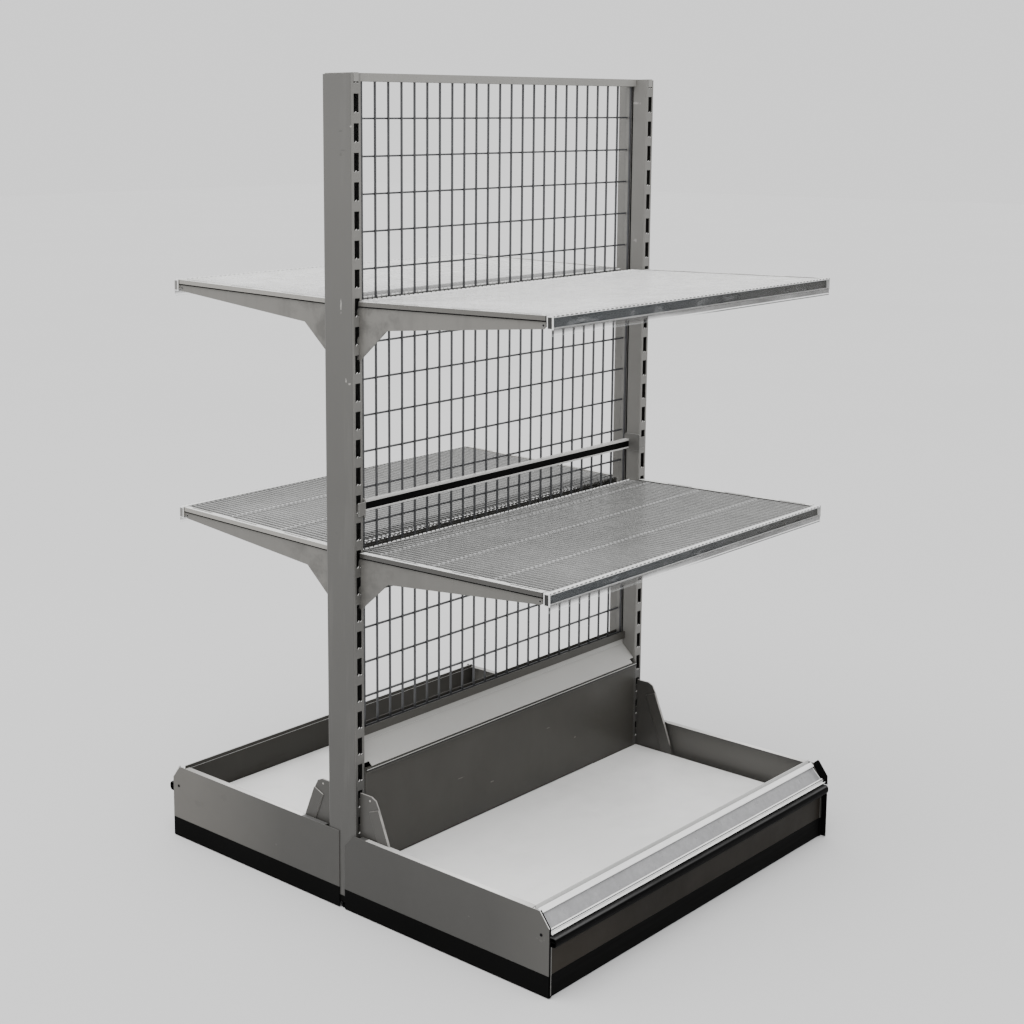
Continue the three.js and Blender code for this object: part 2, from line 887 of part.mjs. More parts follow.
// Base leg with its gusset; the hem lies on the plate's side that hemSide names.
function legSolid(side, hemSide) {
  const x0 = uprightMiddle * side - legSheet / 2;
  const x1 = x0 + legSheet;
  const edge = slottedFace + fit;
  const deckUnder = baseDeckTop - baseDeckSheet - fit;
  const end = fasciaFace - fasciaFold - fit;
  const corner = (out, down) => at(slottedFace + out, gussetTop - down);
  const slopeTop = corner(gussetEdgeOut, gussetEdgeDown);
  const slopeMid = corner(gussetMidOut, gussetMidDown);
  const slopeLow = corner(gussetLowOut, gussetLowDown);
  const plate = prism(
    [
      at(edge, legBottom),
      at(end - legNose, legBottom),
      at(end, legBottom + legNose),
      at(end, deckUnder),
      at(slopeLow.x, deckUnder),
      slopeLow,
      slopeMid,
      slopeTop,
      corner(gussetCornerOut, gussetCornerDown),
      corner(gussetTopOut, 0),
      at(edge, gussetTop),
    ],
    "x",
    x0,
    x1,
  );
  const hemOutline = folded([slopeLow, slopeMid, slopeTop], hemWidth);
  const hem = prism(
    hemOutline,
    "x",
    hemSide > 0 ? x1 - hemSheet / 2 : x0 - hemSheet,
    hemSide > 0 ? x1 + hemSheet : x0 + hemSheet / 2,
  );
  const inward = (near, far) =>
    side > 0 ? [x0 - far, x0 + near] : [x1 - near, x1 + far];
  const [f0, f1] = inward(legSheet / 2, legShelf);
  const shelf = block(
    [f0, baseDeckBack + 2 * baseDeckSheet, deckUnder - legShelfSheet],
    [f1, baseDeckFront - 2 * baseDeckSheet, deckUnder],
  );
  const [t0, t1] = inward(legSheet / 2, footTab);
  const tab = block(
    [t0, footOut - footTab / 2, legBottom],
    [t1, footOut + footTab / 2, legBottom + footTabSheet],
  );
  const hole = new THREE.CylinderGeometry(
    footStud + fit,
    footStud + fit,
    footTabSheet + 2 * overrun,
    turnedSteps,
  );
  hole.rotateX(Math.PI / 2);
  hole.translate(footX(side), footOut, legBottom + footTabSheet / 2);
  const neck = slotPeak + fit;
  const hooks = [0, 1, 2].map((i) => hookSolid(x0, x1, slotBottomZ(i) + neck, 2 * legSheet));
  return join([plate, hem, shelf, tab, ...hooks]).subtract(solidOf(hole));
}

const footX = (side) => side * (uprightMiddle - legSheet / 2 - footIn);

function footSolid(side) {
  const nutTop = legBottom - fit;
  const geometry = new THREE.LatheGeometry(
    [
      at(0, 0),
      at(footRadius, 0),
      at(footRadius, footRim),
      at(footStud, footCone),
      at(footStud, nutTop - footNutHeight),
      at(footNut, nutTop - footNutHeight),
      at(footNut, nutTop),
      at(footStud, nutTop),
      at(footStud, footStudTop),
      at(0, footStudTop),
    ],
    turnedSteps,
  );
  geometry.rotateX(Math.PI / 2);
  geometry.translate(footX(side), footOut, 0);
  return solidOf(geometry);
}

// Assembly
const shelving = new THREE.Group();
shelving.name = "double_sided_wire_shelving";

const uprightShape = uprightSolid();
const plugShape = plugSolid();
for (const [name, side] of [
  ["left", -1],
  ["right", 1],
]) {
  const stand = new THREE.Group();
  stand.position.x = uprightMiddle * side;
  stand.rotation.z = side > 0 ? Math.PI : 0;
  shelving.add(stand);
  addMesh(stand, `${name}_upright`, uprightShape, greyPaint());
  addMesh(stand, `${name}_upright_foot`, plugShape, blackPlastic());
}
addMesh(shelving, "top_rail", topRailSolid(), greyPaint());
addMesh(shelving, "bottom_rail", bottomRailSolid(), darkPaint());
addMesh(shelving, "wire_back_panel", wirePanelSolid(), panelWireSteel());
addMesh(shelving, "crossbar", crossbarSolid(), lightPaint());
addMesh(shelving, "crossbar_insert", crossbarInsertSolid(), blackPlastic());

const deckShape = shelfDeckSolid();
const railShape = shelfTicketRailSolid();
const flapShape = shelfTicketFlapSolid();
const tilt = Math.atan2(shelfRise, shelfReach - slottedFace);
const ends = [
  ["left", 1],
  ["right", -1],
];

for (const face of ["front", "back"]) {
  const half = new THREE.Group();
  half.rotation.z = face === "front" ? Math.PI : 0;
  shelving.add(half);
  const hemSide = face === "front" ? 1 : -1;

  for (const [end, side] of ends) {
    const panel = sidePanelSolid(end === "left");
    const plinth = sidePlinthSolid();
    const turn = (solid) => (side > 0 ? solid : solid.mirror([1, 0, 0]));
    addMesh(half, `${face}_${end}_side_panel`, turn(panel), panelPaint());
    addMesh(half, `${face}_${end}_side_plinth`, turn(plinth), blackPlastic());
    addMesh(half, `${face}_${end}_base_leg`, legSolid(side, hemSide), greyPaint());
    addMesh(half, `${face}_${end}_levelling_foot`, footSolid(side), blackPlastic());
  }
  addMesh(half, `${face}_plinth`, frontPlinthSolid(), blackPlastic());
  addMesh(half, `${face}_fascia`, fasciaSolid(), brownPaint());
  addMesh(half, `${face}_base_ticket_rail`, slantRailSolid(), greyPlastic());
  addMesh(half, `${face}_bumper`, bumperSolid(), blackPlastic());
  addMesh(half, `${face}_base_deck`, baseDeckSolid(), lightPaint());
  addMesh(half, `${face}_riser`, riserSolid(), darkPaint());
  addMesh(half, `${face}_cover`, coverSolid(), lightPaint());

  for (const [level, slot] of [
    ["middle", middleShelfSlot],
    ["top", topShelfSlot],
  ]) {
    for (const [end, side] of ends) {
      addMesh(half, `${face}_${level}_${end}_bracket`, bracketSolid(slot, side), panelPaint());
    }
    const shelf = new THREE.Group();
    shelf.position.set(0, slottedFace, slotTopZ(slot) - shelfUnderSlot);
    shelf.rotation.x = tilt;
    half.add(shelf);
    addMesh(shelf, `${face}_${level}_shelf_deck`, deckShape, wireSteel());
    addMesh(shelf, `${face}_${level}_ticket_rail`, railShape, ticketPlastic());
    addMesh(shelf, `${face}_${level}_ticket_flap`, flapShape, clearPlastic());
  }
}

export default shelving;
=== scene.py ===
"""Looks of the double-sided wire shelving: camera, light, floor, materials and the small fittings."""
import json
import math

import bmesh
import bpy
from mathutils import Matrix, Vector


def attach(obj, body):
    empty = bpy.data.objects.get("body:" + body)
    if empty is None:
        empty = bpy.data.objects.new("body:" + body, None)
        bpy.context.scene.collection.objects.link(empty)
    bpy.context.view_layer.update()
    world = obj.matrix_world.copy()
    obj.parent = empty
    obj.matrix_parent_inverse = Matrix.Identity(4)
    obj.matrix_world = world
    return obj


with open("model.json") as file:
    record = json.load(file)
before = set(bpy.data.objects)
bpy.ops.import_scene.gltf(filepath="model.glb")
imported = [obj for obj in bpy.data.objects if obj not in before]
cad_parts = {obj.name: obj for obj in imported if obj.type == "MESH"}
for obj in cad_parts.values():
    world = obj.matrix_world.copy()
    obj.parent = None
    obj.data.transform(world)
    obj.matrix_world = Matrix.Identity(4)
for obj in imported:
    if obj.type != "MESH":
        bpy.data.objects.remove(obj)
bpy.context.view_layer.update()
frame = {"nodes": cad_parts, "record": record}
nodes = frame["nodes"]

MM = 0.001
FACES = (("front", -1), ("back", 1))  # each side's name and the sign of its Y
LEVELS = ("middle", "top")
SHELVES = [(face, s, level) for face, s in FACES for level in LEVELS]
SIDES = (-1, 1)  # the signs of X

# Places on the solids that materials and small pieces share, in metres
PANEL_END_X = 0.447  # outer faces of the side panels
BRACKET_X = 0.42885  # outer faces of the brackets
LEVEL_BORDER_Z = 0.9  # between the middle and the top shelves
LEVEL_STEP = 0.45
RAIL_TOP_Z = 0.68818  # top of the middle shelves' rails
FLAP_TOP_Z = 0.68813
SUPPORTS = (0.0674, 0.1934, 0.3321)  # |y| of the wires that carry a deck
WIRE_PITCH = 0.011953  # between a deck's long wires
WIRES = range(-34, 35)

# Material habits
NOISE_SPAN = (0.3, 0.7)  # most of a noise texture's values
SHEET_EDGE = 0.0011  # width of the pale edges of painted sheet: edge wear and a painted highlight
PLASTIC_EDGE = 0.0008
# White of painted highlights: the uprights' slot sills, and pale edges beside wear
HIGHLIGHT_WHITE = (0.85, 0.84, 0.82)


# Camera, at the photograph's place
CAMERA_AT = Vector((-2.5268, -2.1041, 1.4473))
CAMERA_YAW = math.radians(43.22)
CAMERA_PITCH = math.radians(-9.46)
CAMERA_ROLL = math.radians(-0.12)
CAMERA_LENS = 59.82
CAMERA_SHIFT = 0.109375


def add_object(name, data):
    obj = bpy.data.objects.new(name, data)
    bpy.context.collection.objects.link(obj)
    return obj


def make_camera():
    data = bpy.data.cameras.new("camera")
    data.lens = CAMERA_LENS
    data.sensor_width = 36
    data.shift_x = CAMERA_SHIFT
    data.shift_y = -CAMERA_SHIFT
    data.clip_start = 0.05
    data.clip_end = 60
    cam = add_object("camera", data)
    cy, sy = math.cos(CAMERA_YAW), math.sin(CAMERA_YAW)
    cp, sp = math.cos(CAMERA_PITCH), math.sin(CAMERA_PITCH)
    forward = Vector((cp * cy, cp * sy, sp))
    level = Vector((sy, -cy, 0))
    above = level.cross(forward)
    cr, sr = math.cos(CAMERA_ROLL), math.sin(CAMERA_ROLL)
    right = level * cr + above * sr
    up = above * cr - level * sr
    turn = Matrix((right, up, -forward)).transposed()
    cam.matrix_world = Matrix.Translation(CAMERA_AT) @ turn.to_4x4()
    bpy.context.scene.camera = cam


make_camera()


# Node graph helpers
class Graph:
    """A material's node tree with short calls. Masks run from 0 to 1."""

    def __init__(self, name):
        self.material = bpy.data.materials.new(name)
        self.material.use_nodes = True
        self.tree = self.material.node_tree
        self.shader = self.tree.nodes["Principled BSDF"]
        coords = self.tree.nodes.new("ShaderNodeTexCoord")
        self.place = coords.outputs["Object"]
        parts = self.node("ShaderNodeSeparateXYZ")
        self.link(self.place, parts.inputs[0])
        self.x, self.y, self.z = parts.outputs
        self.soft_normal = None

    def node(self, kind, **values):
        made = self.tree.nodes.new(kind)
        for key, value in values.items():
            setattr(made, key, value)
        return made

    def link(self, source, target):
        self.tree.links.new(source, target)

    def feed(self, socket, value):
        """Sets one of the shader's sockets to a number, or links it."""
        target = self.shader.inputs[socket]
        if isinstance(value, (int, float)):
            target.default_value = value
        else:
            self.link(value, target)

    def mapped(self, scale):
        mapping = self.node("ShaderNodeMapping")
        mapping.inputs["Scale"].default_value = scale
        self.link(self.place, mapping.inputs["Vector"])
        return mapping.outputs["Vector"]

    def noise(self, scale, detail=2.0, rough=0.5, place=None):
        made = self.node("ShaderNodeTexNoise")
        made.inputs["Scale"].default_value = scale
        made.inputs["Detail"].default_value = detail
        made.inputs["Roughness"].default_value = rough
        self.link(place or self.place, made.inputs["Vector"])
        return made.outputs["Fac"]

    def ranged(self, value, low, high, out_low=0.0, out_high=1.0):
        made = self.node("ShaderNodeMapRange")
        made.inputs["From Min"].default_value = low
        made.inputs["From Max"].default_value = high
        made.inputs["To Min"].default_value = out_low
        made.inputs["To Max"].default_value = out_high
        self.link(value, made.inputs["Value"])
        return made.outputs["Result"]

    def mixed(self, share, first, second):
        made = self.node("ShaderNodeMix", data_type="RGBA")
        for socket, value in ((made.inputs[6], first), (made.inputs[7], second)):
            if isinstance(value, tuple):
                socket.default_value = (*value, 1.0)
            else:
                self.link(value, socket)
        self.link(share, made.inputs[0])
        return made.outputs[2]

    def maths(self, operation, first, second=0.0):
        made = self.node("ShaderNodeMath", operation=operation)
        for socket, value in zip(made.inputs, (first, second)):
            if isinstance(value, (int, float)):
                socket.default_value = value
            else:
                self.link(value, socket)
        return made.outputs[0]

    def times(self, first, *others):
        for other in others:
            first = self.maths("MULTIPLY", first, other)
        return first

    def away(self, value):
        """Distance to either side of 0."""
        return self.maths("ABSOLUTE", value)

    def band(self, value, middle, half, soft):
        """1 where value is within half of middle, with a soft edge."""
        off = self.away(self.maths("SUBTRACT", value, middle))
        return self.ranged(off, half + soft, half)

    def between_wires(self, half, soft):
        """1 in the middle of the gaps between a deck's long wires."""
        shifted = self.maths("ADD", self.x, 100.5 * WIRE_PITCH)
        cell = self.maths("FRACT", self.maths("DIVIDE", shifted, WIRE_PITCH))
        return self.band(cell, 0.5, half, soft)

    def above(self, place):
        """Height over a place of the middle shelves, or over the same place of the top ones."""
        step = self.times(self.maths("GREATER_THAN", self.z, LEVEL_BORDER_Z), LEVEL_STEP)
        return self.maths("SUBTRACT", self.maths("SUBTRACT", self.z, step), place)

    def top_level(self, share=1.0):
        return self.ranged(self.z, 0.85, 0.95, 0.0, share)

    def back_side(self):
        return self.ranged(self.y, -0.01, 0.01)

    def edge(self, radius):
        """1 along the outer edges of the sheet, and a rounded normal for them."""
        bevel = self.node("ShaderNodeBevel", samples=4)
        bevel.inputs["Radius"].default_value = radius
        self.soft_normal = bevel.outputs["Normal"]
        plain = self.node("ShaderNodeNewGeometry")
        dot = self.node("ShaderNodeVectorMath", operation="DOT_PRODUCT")
        self.link(bevel.outputs["Normal"], dot.inputs[0])
        self.link(plain.outputs["True Normal"], dot.inputs[1])
        return self.ranged(dot.outputs["Value"], 0.985, 0.86)

    def facing(self, axis):
        """The part of the surface's own normal along an axis of the object."""
        plain = self.node("ShaderNodeNewGeometry")
        parts = self.node("ShaderNodeSeparateXYZ")
        self.link(plain.outputs["True Normal"], parts.inputs[0])
        return parts.outputs[axis]

    def scuff(self, base, spots, color, share, ragged=0.6, scale=260.0):
        """Marks at spots, each ((x, y, z), (half x, half y, half z)) in millimetres."""
        rough = self.ranged(self.noise(scale, 3.0, 0.6), *NOISE_SPAN, -ragged, ragged)
        mask = None
        for at, half in spots:
            off = self.node("ShaderNodeVectorMath", operation="SUBTRACT")
            self.link(self.place, off.inputs[0])
            off.inputs[1].default_value = tuple(v * MM for v in at)
            size = self.node("ShaderNodeVectorMath", operation="DIVIDE")
            self.link(off.outputs[0], size.inputs[0])
            size.inputs[1].default_value = tuple(v * MM for v in half)
            far = self.node("ShaderNodeVectorMath", operation="LENGTH")
            self.link(size.outputs[0], far.inputs[0])
            one = self.ranged(self.maths("ADD", far.outputs["Value"], rough), 1.15, 0.65)
            mask = one if mask is None else self.maths("MAXIMUM", mask, one)
        return self.mixed(self.times(mask, share), base, color)

    def gloss(self, noise, low, high):
        """Roughness from low to high, along a noise."""
        self.feed("Roughness", self.ranged(noise, *NOISE_SPAN, low, high))

    def bump(self, height, strength, distance):
        made = self.node("ShaderNodeBump")
        made.inputs["Strength"].default_value = strength
        made.inputs["Distance"].default_value = distance
        self.link(height, made.inputs["Height"])
        if self.soft_normal is not None:
            self.link(self.soft_normal, made.inputs["Normal"])
        self.feed("Normal", made.outputs["Normal"])


def shade(value, factor):
    return tuple(min(1.0, c * factor) for c in value)


def mottled(g, color, low, high, scale, detail, rough=0.5):
    """A colour that drifts between two shades of itself."""
    tone = g.ranged(g.noise(scale, detail, rough), *NOISE_SPAN)
    return g.mixed(tone, shade(color, low), shade(color, high))


def edge_wear_and_highlight(g, base, share, color):
    """Paler edges: where the coat is thin, and a painted highlight along them."""
    return g.mixed(g.times(g.edge(SHEET_EDGE), share), base, color)


# Painted sheet
def powder_coat(g, color, spread, stain=0.0):
    """Base colour of powder-coated sheet: soft tone changes, specks and rub marks."""
    base = mottled(g, color, 1 - spread, 1 + spread, 3.1, 3.0)
    speck = g.ranged(g.noise(60.0, 4.0, 0.6), 0.25, 0.75, 0.0, 0.35)
    base = g.mixed(speck, base, shade(color, 1 + 0.8 * spread))
    rub = g.noise(14.0, 6.0, 0.7, g.mapped((1.0, 1.0, 0.18)))
    base = g.mixed(g.ranged(rub, 0.58, 0.74, 0.0, 0.45), base, shade(color, 1 + 2.4 * spread))
    if stain:
        spots = g.noise(7.0, 5.0, 0.62)
        base = g.mixed(g.ranged(spots, 0.50, 0.72, 0.0, stain), base, shade(color, 0.70))
        smear = g.noise(16.0, 5.0, 0.6, g.mapped((0.25, 1.0, 1.0)))
        base = g.mixed(g.ranged(smear, 0.54, 0.70, 0.0, 0.6 * stain), base, shade(color, 0.80))
    return base


def finish_paint(g, base, rough, specular, grain=0.25):
    """Gloss and orange peel of the paint."""
    g.feed("Base Color", base)
    g.gloss(g.noise(9.0, 5.0, 0.65), rough - 0.07, rough + 0.09)
    g.feed("Specular IOR Level", specular)
    g.bump(g.noise(900.0, 2.0, 0.5), grain, 0.00012)
    return g.material


def painted(name, color, rough, spread, specular=0.4, stain=0.0, edge=0.5):
    """Plain painted sheet."""
    g = Graph(name)
    base = edge_wear_and_highlight(g, powder_coat(g, color, spread, stain), edge, shade(color, 2.1))
    return finish_paint(g, base, rough, specular)


UPRIGHT_LIGHT_MARKS = (
    ((-445, -7, 1123), (3, 1.4, 13)), ((-445, -18, 991), (3, 2.2, 4)), ((-445, -27, 986), (3, 2.6, 2)),
    ((-445, -34, 1431), (3, 2.0, 1.6)), ((445, 9, 1105), (3, 1.5, 11)), ((445, -20, 822), (3, 5, 1.2)),
    ((420, -9, 1474), (3, 10, 2.2)), ((420, -14, 1190), (3, 4, 3)), ((-420, 12, 860), (3, 5, 2)),
)
UPRIGHT_DARK_MARKS = (
    ((-445, -10, 1423), (3, 5, 1.8)), ((-445, -10, 1383), (3, 3, 3)), ((-445, -16, 1390), (3, 7, 1.4)),
    ((-445, 8, 712), (3, 4, 2)), ((-445, -22, 420), (3, 6, 3)), ((445, 0, 560), (3, 4, 4)),
    ((445, -18, 1300), (3, 5, 2)),
)


def upright_paint(name, color):
    """The slotted uprights: painted shade on the end faces, deeper towards the floor, and on the lower front
    faces; painted shade inside the slots, painted highlights on the slot sills, marks.
    """
    g = Graph(name)
    base = powder_coat(g, color, 0.07)
    # Painted shade on the end faces, deepening towards the floor.
    end_face = g.ranged(g.away(g.x), 0.4438, 0.4446)
    low = g.maths("POWER", g.ranged(g.z, 1.50, 0.15), 1.5)
    base = g.mixed(g.times(end_face, 0.80), base, powder_coat(g, shade(color, 0.52), 0.06))
    base = g.mixed(g.times(end_face, low, 0.60), base, shade(color, 0.18))
    inner_part = g.ranged(g.away(g.x), 0.4405, 0.4385)
    base = g.mixed(g.times(inner_part, g.ranged(g.z, 1.2, 0.4, 0.0, 0.10)), base, shade(color, 1.35))
    wipe = g.noise(5.0, 5.0, 0.6, g.mapped((1.0, 6.0, 0.7)))
    base = g.mixed(g.ranged(wipe, 0.55, 0.75, 0.0, 0.35), base, shade(color, 0.86))
    # Painted shade on the front faces: the near upright's below about a metre, and both uprights' low down by
    # the riser.
    front = g.ranged(g.facing(1), -0.8, -0.9)
    near_low = g.times(front, g.maths("LESS_THAN", g.x, 0.0), g.ranged(g.z, 1.05, 0.70, 0.0, 0.8))
    base = g.mixed(near_low, base, powder_coat(g, shade(color, 0.50), 0.07))
    base = g.mixed(g.times(front, g.ranged(g.z, 0.30, 0.25, 0.0, 0.85)), base, shade(color, 0.22))
    base = edge_wear_and_highlight(g, base, 0.45, shade(color, 1.9))
    # Painted shade inside the hollow upright, seen through the slots.
    deep = g.ranged(g.away(g.y), 0.0345, 0.0336)
    hollow = g.times(g.ranged(g.away(g.x), 0.4206, 0.4214), g.ranged(g.away(g.x), 0.4445, 0.4436))
    base = g.mixed(g.times(deep, hollow, 0.92), base, shade(color, 0.05))
    # Painted highlight on the upward sills at the slots' lower edges.
    sill = g.times(g.ranged(g.facing(2), 0.5, 0.7), g.ranged(g.z, 1.515, 1.510),
                   g.ranged(g.away(g.y), 0.0325, 0.0329))
    base = g.mixed(g.times(sill, 0.85), base, HIGHLIGHT_WHITE)
    base = g.scuff(base, UPRIGHT_LIGHT_MARKS, shade(color, 2.2), 0.7)
    base = g.scuff(base, UPRIGHT_DARK_MARKS, shade(color, 0.45), 0.6)
    return finish_paint(g, base, 0.42, 0.35)


PANEL_CHIPS = (
    ((-447, -468, 98), (3, 3.2, 2.0)), ((-447, -474, 101), (3, 1.6, 1.4)), ((-447, -459, 100), (3, 2, 1.2)),
    ((-447, 462, 101), (3, 4, 2.2)), ((-447, 455, 97), (3, 2, 2)), ((-447, 179, 71), (3, 2, 2)),
    ((-447, -310, 88), (3, 3, 1.2)), ((447, -240, 96), (3, 3, 1.6)), ((447, 301, 80), (3, 2, 3)),
)
PANEL_STAINS = (
    ((-447, 329, 122), (3, 10, 6)), ((-447, 402, 88), (3, 14, 5)), ((-447, -150, 60), (3, 18, 6)),
    ((447, -400, 84), (3, 14, 7)),
)


def panel_paint(name, color):
    """Side panels of the trays: top flange painted pale as lit from above, painted shade by the uprights and
    on the return flanges, painted light on the sloped faces, front corners paler, chips by the screws.
    """
    g = Graph(name)
    base = powder_coat(g, color, 0.09)
    # Painted light: the top flange pale, as lit from above.
    upward = g.ranged(g.facing(2), 0.85, 0.95)
    patchy = g.mixed(g.ranged(g.noise(20.0, 4.0), *NOISE_SPAN), (0.72, 0.71, 0.69), (0.82, 0.81, 0.79))
    base = g.mixed(g.times(upward, g.ranged(g.z, 0.1475, 0.1485)), base, patchy)
    base = g.mixed(g.ranged(g.y, -0.36, -0.485, 0.0, 0.55), base, shade(color, 1.6))
    base = g.mixed(g.ranged(g.y, 0.16, 0.42, 0.0, 0.75), base, powder_coat(g, (0.112, 0.106, 0.096), 0.10))
    # Painted shade on the top flange beside the uprights.
    by_upright = g.times(g.ranged(g.y, -0.0615, -0.0595), g.ranged(g.y, 0.1080, 0.1060))
    flange_root = g.times(g.ranged(g.z, 0.1470, 0.1480), by_upright, upward)
    base = g.mixed(g.times(flange_root, 0.9), base, (0.006, 0.006, 0.006))
    front_root = g.times(g.ranged(g.y, -0.30, -0.12, 0.0, 0.5), g.maths("LESS_THAN", g.y, 0.0))
    base = g.mixed(front_root, base, shade(color, 0.70))
    inside = g.times(g.ranged(g.away(g.x), 0.4466, 0.4460), g.ranged(g.z, 0.1478, 0.1470))
    base = g.mixed(g.times(inside, 0.9), base, shade(color, 2.3))
    # Painted shade on the end-facing faces of the return flanges.
    turned_edge = g.times(g.ranged(g.away(g.facing(1)), 0.9, 0.96), g.ranged(g.away(g.y), 0.4846, 0.4849))
    base = g.mixed(turned_edge, base, shade(color, 0.35))
    # Painted light on the upward-sloping chamfer faces.
    slope = g.times(g.ranged(g.facing(2), 0.35, 0.5), g.ranged(g.z, 0.146, 0.144))
    base = g.mixed(g.times(slope, 0.7), base, shade(color, 6.0))
    base = edge_wear_and_highlight(g, base, 0.55, shade(color, 2.6))
    base = g.scuff(base, PANEL_CHIPS, shade(color, 1.8), 0.6)
    base = g.scuff(base, PANEL_STAINS, shade(color, 0.72), 0.14, ragged=0.9, scale=60.0)
    return finish_paint(g, base, 0.40, 0.35)


def fascia_paint(name, color):
    """Dark brown front sheet: lighter to the bay's left end and inside, with long rubs."""
    g = Graph(name)
    base = powder_coat(g, color, 0.16)
    base = g.mixed(g.ranged(g.x, -0.15, -0.45, 0.0, 0.8), base, shade(color, 1.9))
    inside = g.ranged(g.times(g.facing(1), g.y), -0.30, -0.40)
    base = g.mixed(inside, base, powder_coat(g, (0.043, 0.041, 0.037), 0.12))
    streaks = g.noise(26.0, 4.0, 0.6, g.mapped((0.12, 1.0, 1.0)))
    base = g.mixed(g.ranged(streaks, 0.56, 0.70, 0.0, 0.5), base, shade(color, 1.7))
    base = edge_wear_and_highlight(g, base, 0.4, shade(color, 2.2))
    return finish_paint(g, base, 0.46, 0.08)


def bracket_paint(name, color):
    """Shelf brackets: stained at the roots, painted lighter on the back side and at the top level, where more
    light falls.
    """
    g = Graph(name)
    base = powder_coat(g, color, 0.09)
    # Painted light: lighter copies of the paint on the back side and at the top level.
    base = g.mixed(g.ranged(g.y, 0.01, 0.03, 0.0, 0.95), base, powder_coat(g, shade(color, 1.18), 0.07))
    base = g.mixed(g.top_level(0.9), base, powder_coat(g, shade(color, 1.28), 0.07))
    root = g.ranged(g.away(g.y), 0.19, 0.10)
    blot = g.ranged(g.noise(26.0, 5.0, 0.65), 0.44, 0.62)
    streak = g.ranged(g.noise(60.0, 4.0, 0.6, g.mapped((1.0, 1.0, 0.16))), 0.50, 0.70)
    base = g.mixed(g.times(root, blot, 0.60), base, shade(color, 0.62))
    base = g.mixed(g.times(streak, 0.20), base, shade(color, 0.75))
    base = edge_wear_and_highlight(g, base, 0.5, shade(color, 2.3))
    return finish_paint(g, base, 0.38, 0.35)


def leg_paint(name, color):
    """Base legs: dark plate with a painted highlight on its cut edges above the tray."""
    g = Graph(name)
    base = powder_coat(g, color, 0.12)
    # Painted highlight on the cut edges above the tray, broken by noise.
    cut = g.times(g.ranged(g.away(g.facing(0)), 0.7, 0.5), g.ranged(g.z, 0.10, 0.11))
    patchy = g.ranged(g.noise(45.0, 3.0, 0.6), 0.30, 0.55, 0.55, 1.0)
    base = g.mixed(g.times(cut, patchy), base, (0.30, 0.29, 0.275))
    base = edge_wear_and_highlight(g, base, 0.9, shade(color, 2.6))
    return finish_paint(g, base, 0.42, 0.4)


# Painted shadow, highlight and shade in lines along the riser's top fold: middle z, half height, tone
FOLD_LINES = ((0.2731, 0.0006, 0.006), (0.2716, 0.0006, 0.42), (0.2692, 0.0014, 0.012))
RISER_MARKS = (
    ((-155, -35, 177), (8, 3, 1.0)), ((-60, -35, 142), (5, 3, 1.4)), ((120, -35, 205), (7, 3, 0.9)),
    ((210, -35, 160), (3, 3, 2)), ((-260, 35, 180), (8, 3, 1.0)), ((90, 35, 150), (5, 3, 1.5)),
)


def riser_paint(name, color):
    """Dark sheet with soft vertical cloudiness, painted shadow, highlight and shade along the top fold, and a
    few light scratches.
    """
    g = Graph(name)
    base = powder_coat(g, color, 0.12)
    cloud = g.noise(4.0, 4.0, 0.6, g.mapped((1.4, 1.0, 0.5)))
    base = g.mixed(g.ranged(cloud, 0.35, 0.65, 0.0, 0.5), base, shade(color, 1.3))
    base = edge_wear_and_highlight(g, base, 0.6, shade(color, 3.2))
    # Painted shadow, highlight and shade along the top fold.
    fold = g.ranged(g.away(g.y), 0.0372, 0.0376)
    for middle, half, tone in FOLD_LINES:
        base = g.mixed(g.times(fold, g.band(g.z, middle, half, 0.0002)), base, (tone, tone, 0.95 * tone))
    base = g.scuff(base, RISER_MARKS, shade(color, 4.0), 0.6)
    return finish_paint(g, base, 0.42, 0.25, grain=0.3)


def crossbar_paint(name, color, hook):
    """The crossbar, with hook plates painted darker."""
    g = Graph(name)
    base = powder_coat(g, color, 0.06)
    plates = g.ranged(g.away(g.x), 0.4155, 0.4165)
    base = g.mixed(plates, base, powder_coat(g, shade(hook, 0.72), 0.07))
    base = edge_wear_and_highlight(g, base, 0.5, HIGHLIGHT_WHITE)
    return finish_paint(g, base, 0.34, 0.4)


# Plastics
def draw_lines(g, scale, stretch):
    """Fine lines along the bay, from the drawing of the profile."""
    return g.noise(scale, 2.0, 0.5, g.mapped((stretch, 1.0, 1.0)))


def plastic(name, color, rough=0.4, specular=0.4, dusty=0.25):
    """Moulded or extruded plastic with a faint draw grain along the bay."""
    g = Graph(name)
    base = mottled(g, color, 0.88, 1.12, 6.0, 4.0)
    dust = g.ranged(g.noise(45.0, 5.0, 0.7), 0.58, 0.8, 0.0, dusty)
    base = g.mixed(dust, base, shade(color, 1.36))
    # Painted highlight along the edges.
    base = g.mixed(g.times(g.edge(PLASTIC_EDGE), 0.4), base, shade(color, 1.7))
    g.feed("Base Color", base)
    draw = draw_lines(g, 220.0, 0.04)
    g.gloss(draw, rough - 0.06, rough + 0.08)
    g.feed("Specular IOR Level", specular)
    g.feed("IOR", 1.49)
    g.bump(draw, 0.2, 0.00008)
    return g.material


def bumper_plastic(name, color):
    """Black tube: a painted highlight in a broken band along its upper side, dull below."""
    g = Graph(name)
    base = mottled(g, color, 0.8, 1.3, 6.0, 4.0)
    # Painted highlight: a broken pale band along the upper side.
    streaks = g.noise(30.0, 4.0, 0.65, g.mapped((0.10, 1.0, 1.0)))
    highlight_band = g.times(g.band(g.z, 0.1098, 0.0006, 0.0012), g.ranged(streaks, 0.35, 0.60, 0.35, 1.0))
    g.feed("Base Color", g.mixed(highlight_band, base, (0.060, 0.060, 0.060)))
    draw = draw_lines(g, 220.0, 0.04)
    g.gloss(draw, 0.36, 0.50)
    g.feed("Specular IOR Level", 0.02)
    g.edge(PLASTIC_EDGE)
    g.bump(draw, 0.2, 0.00008)
    return g.material


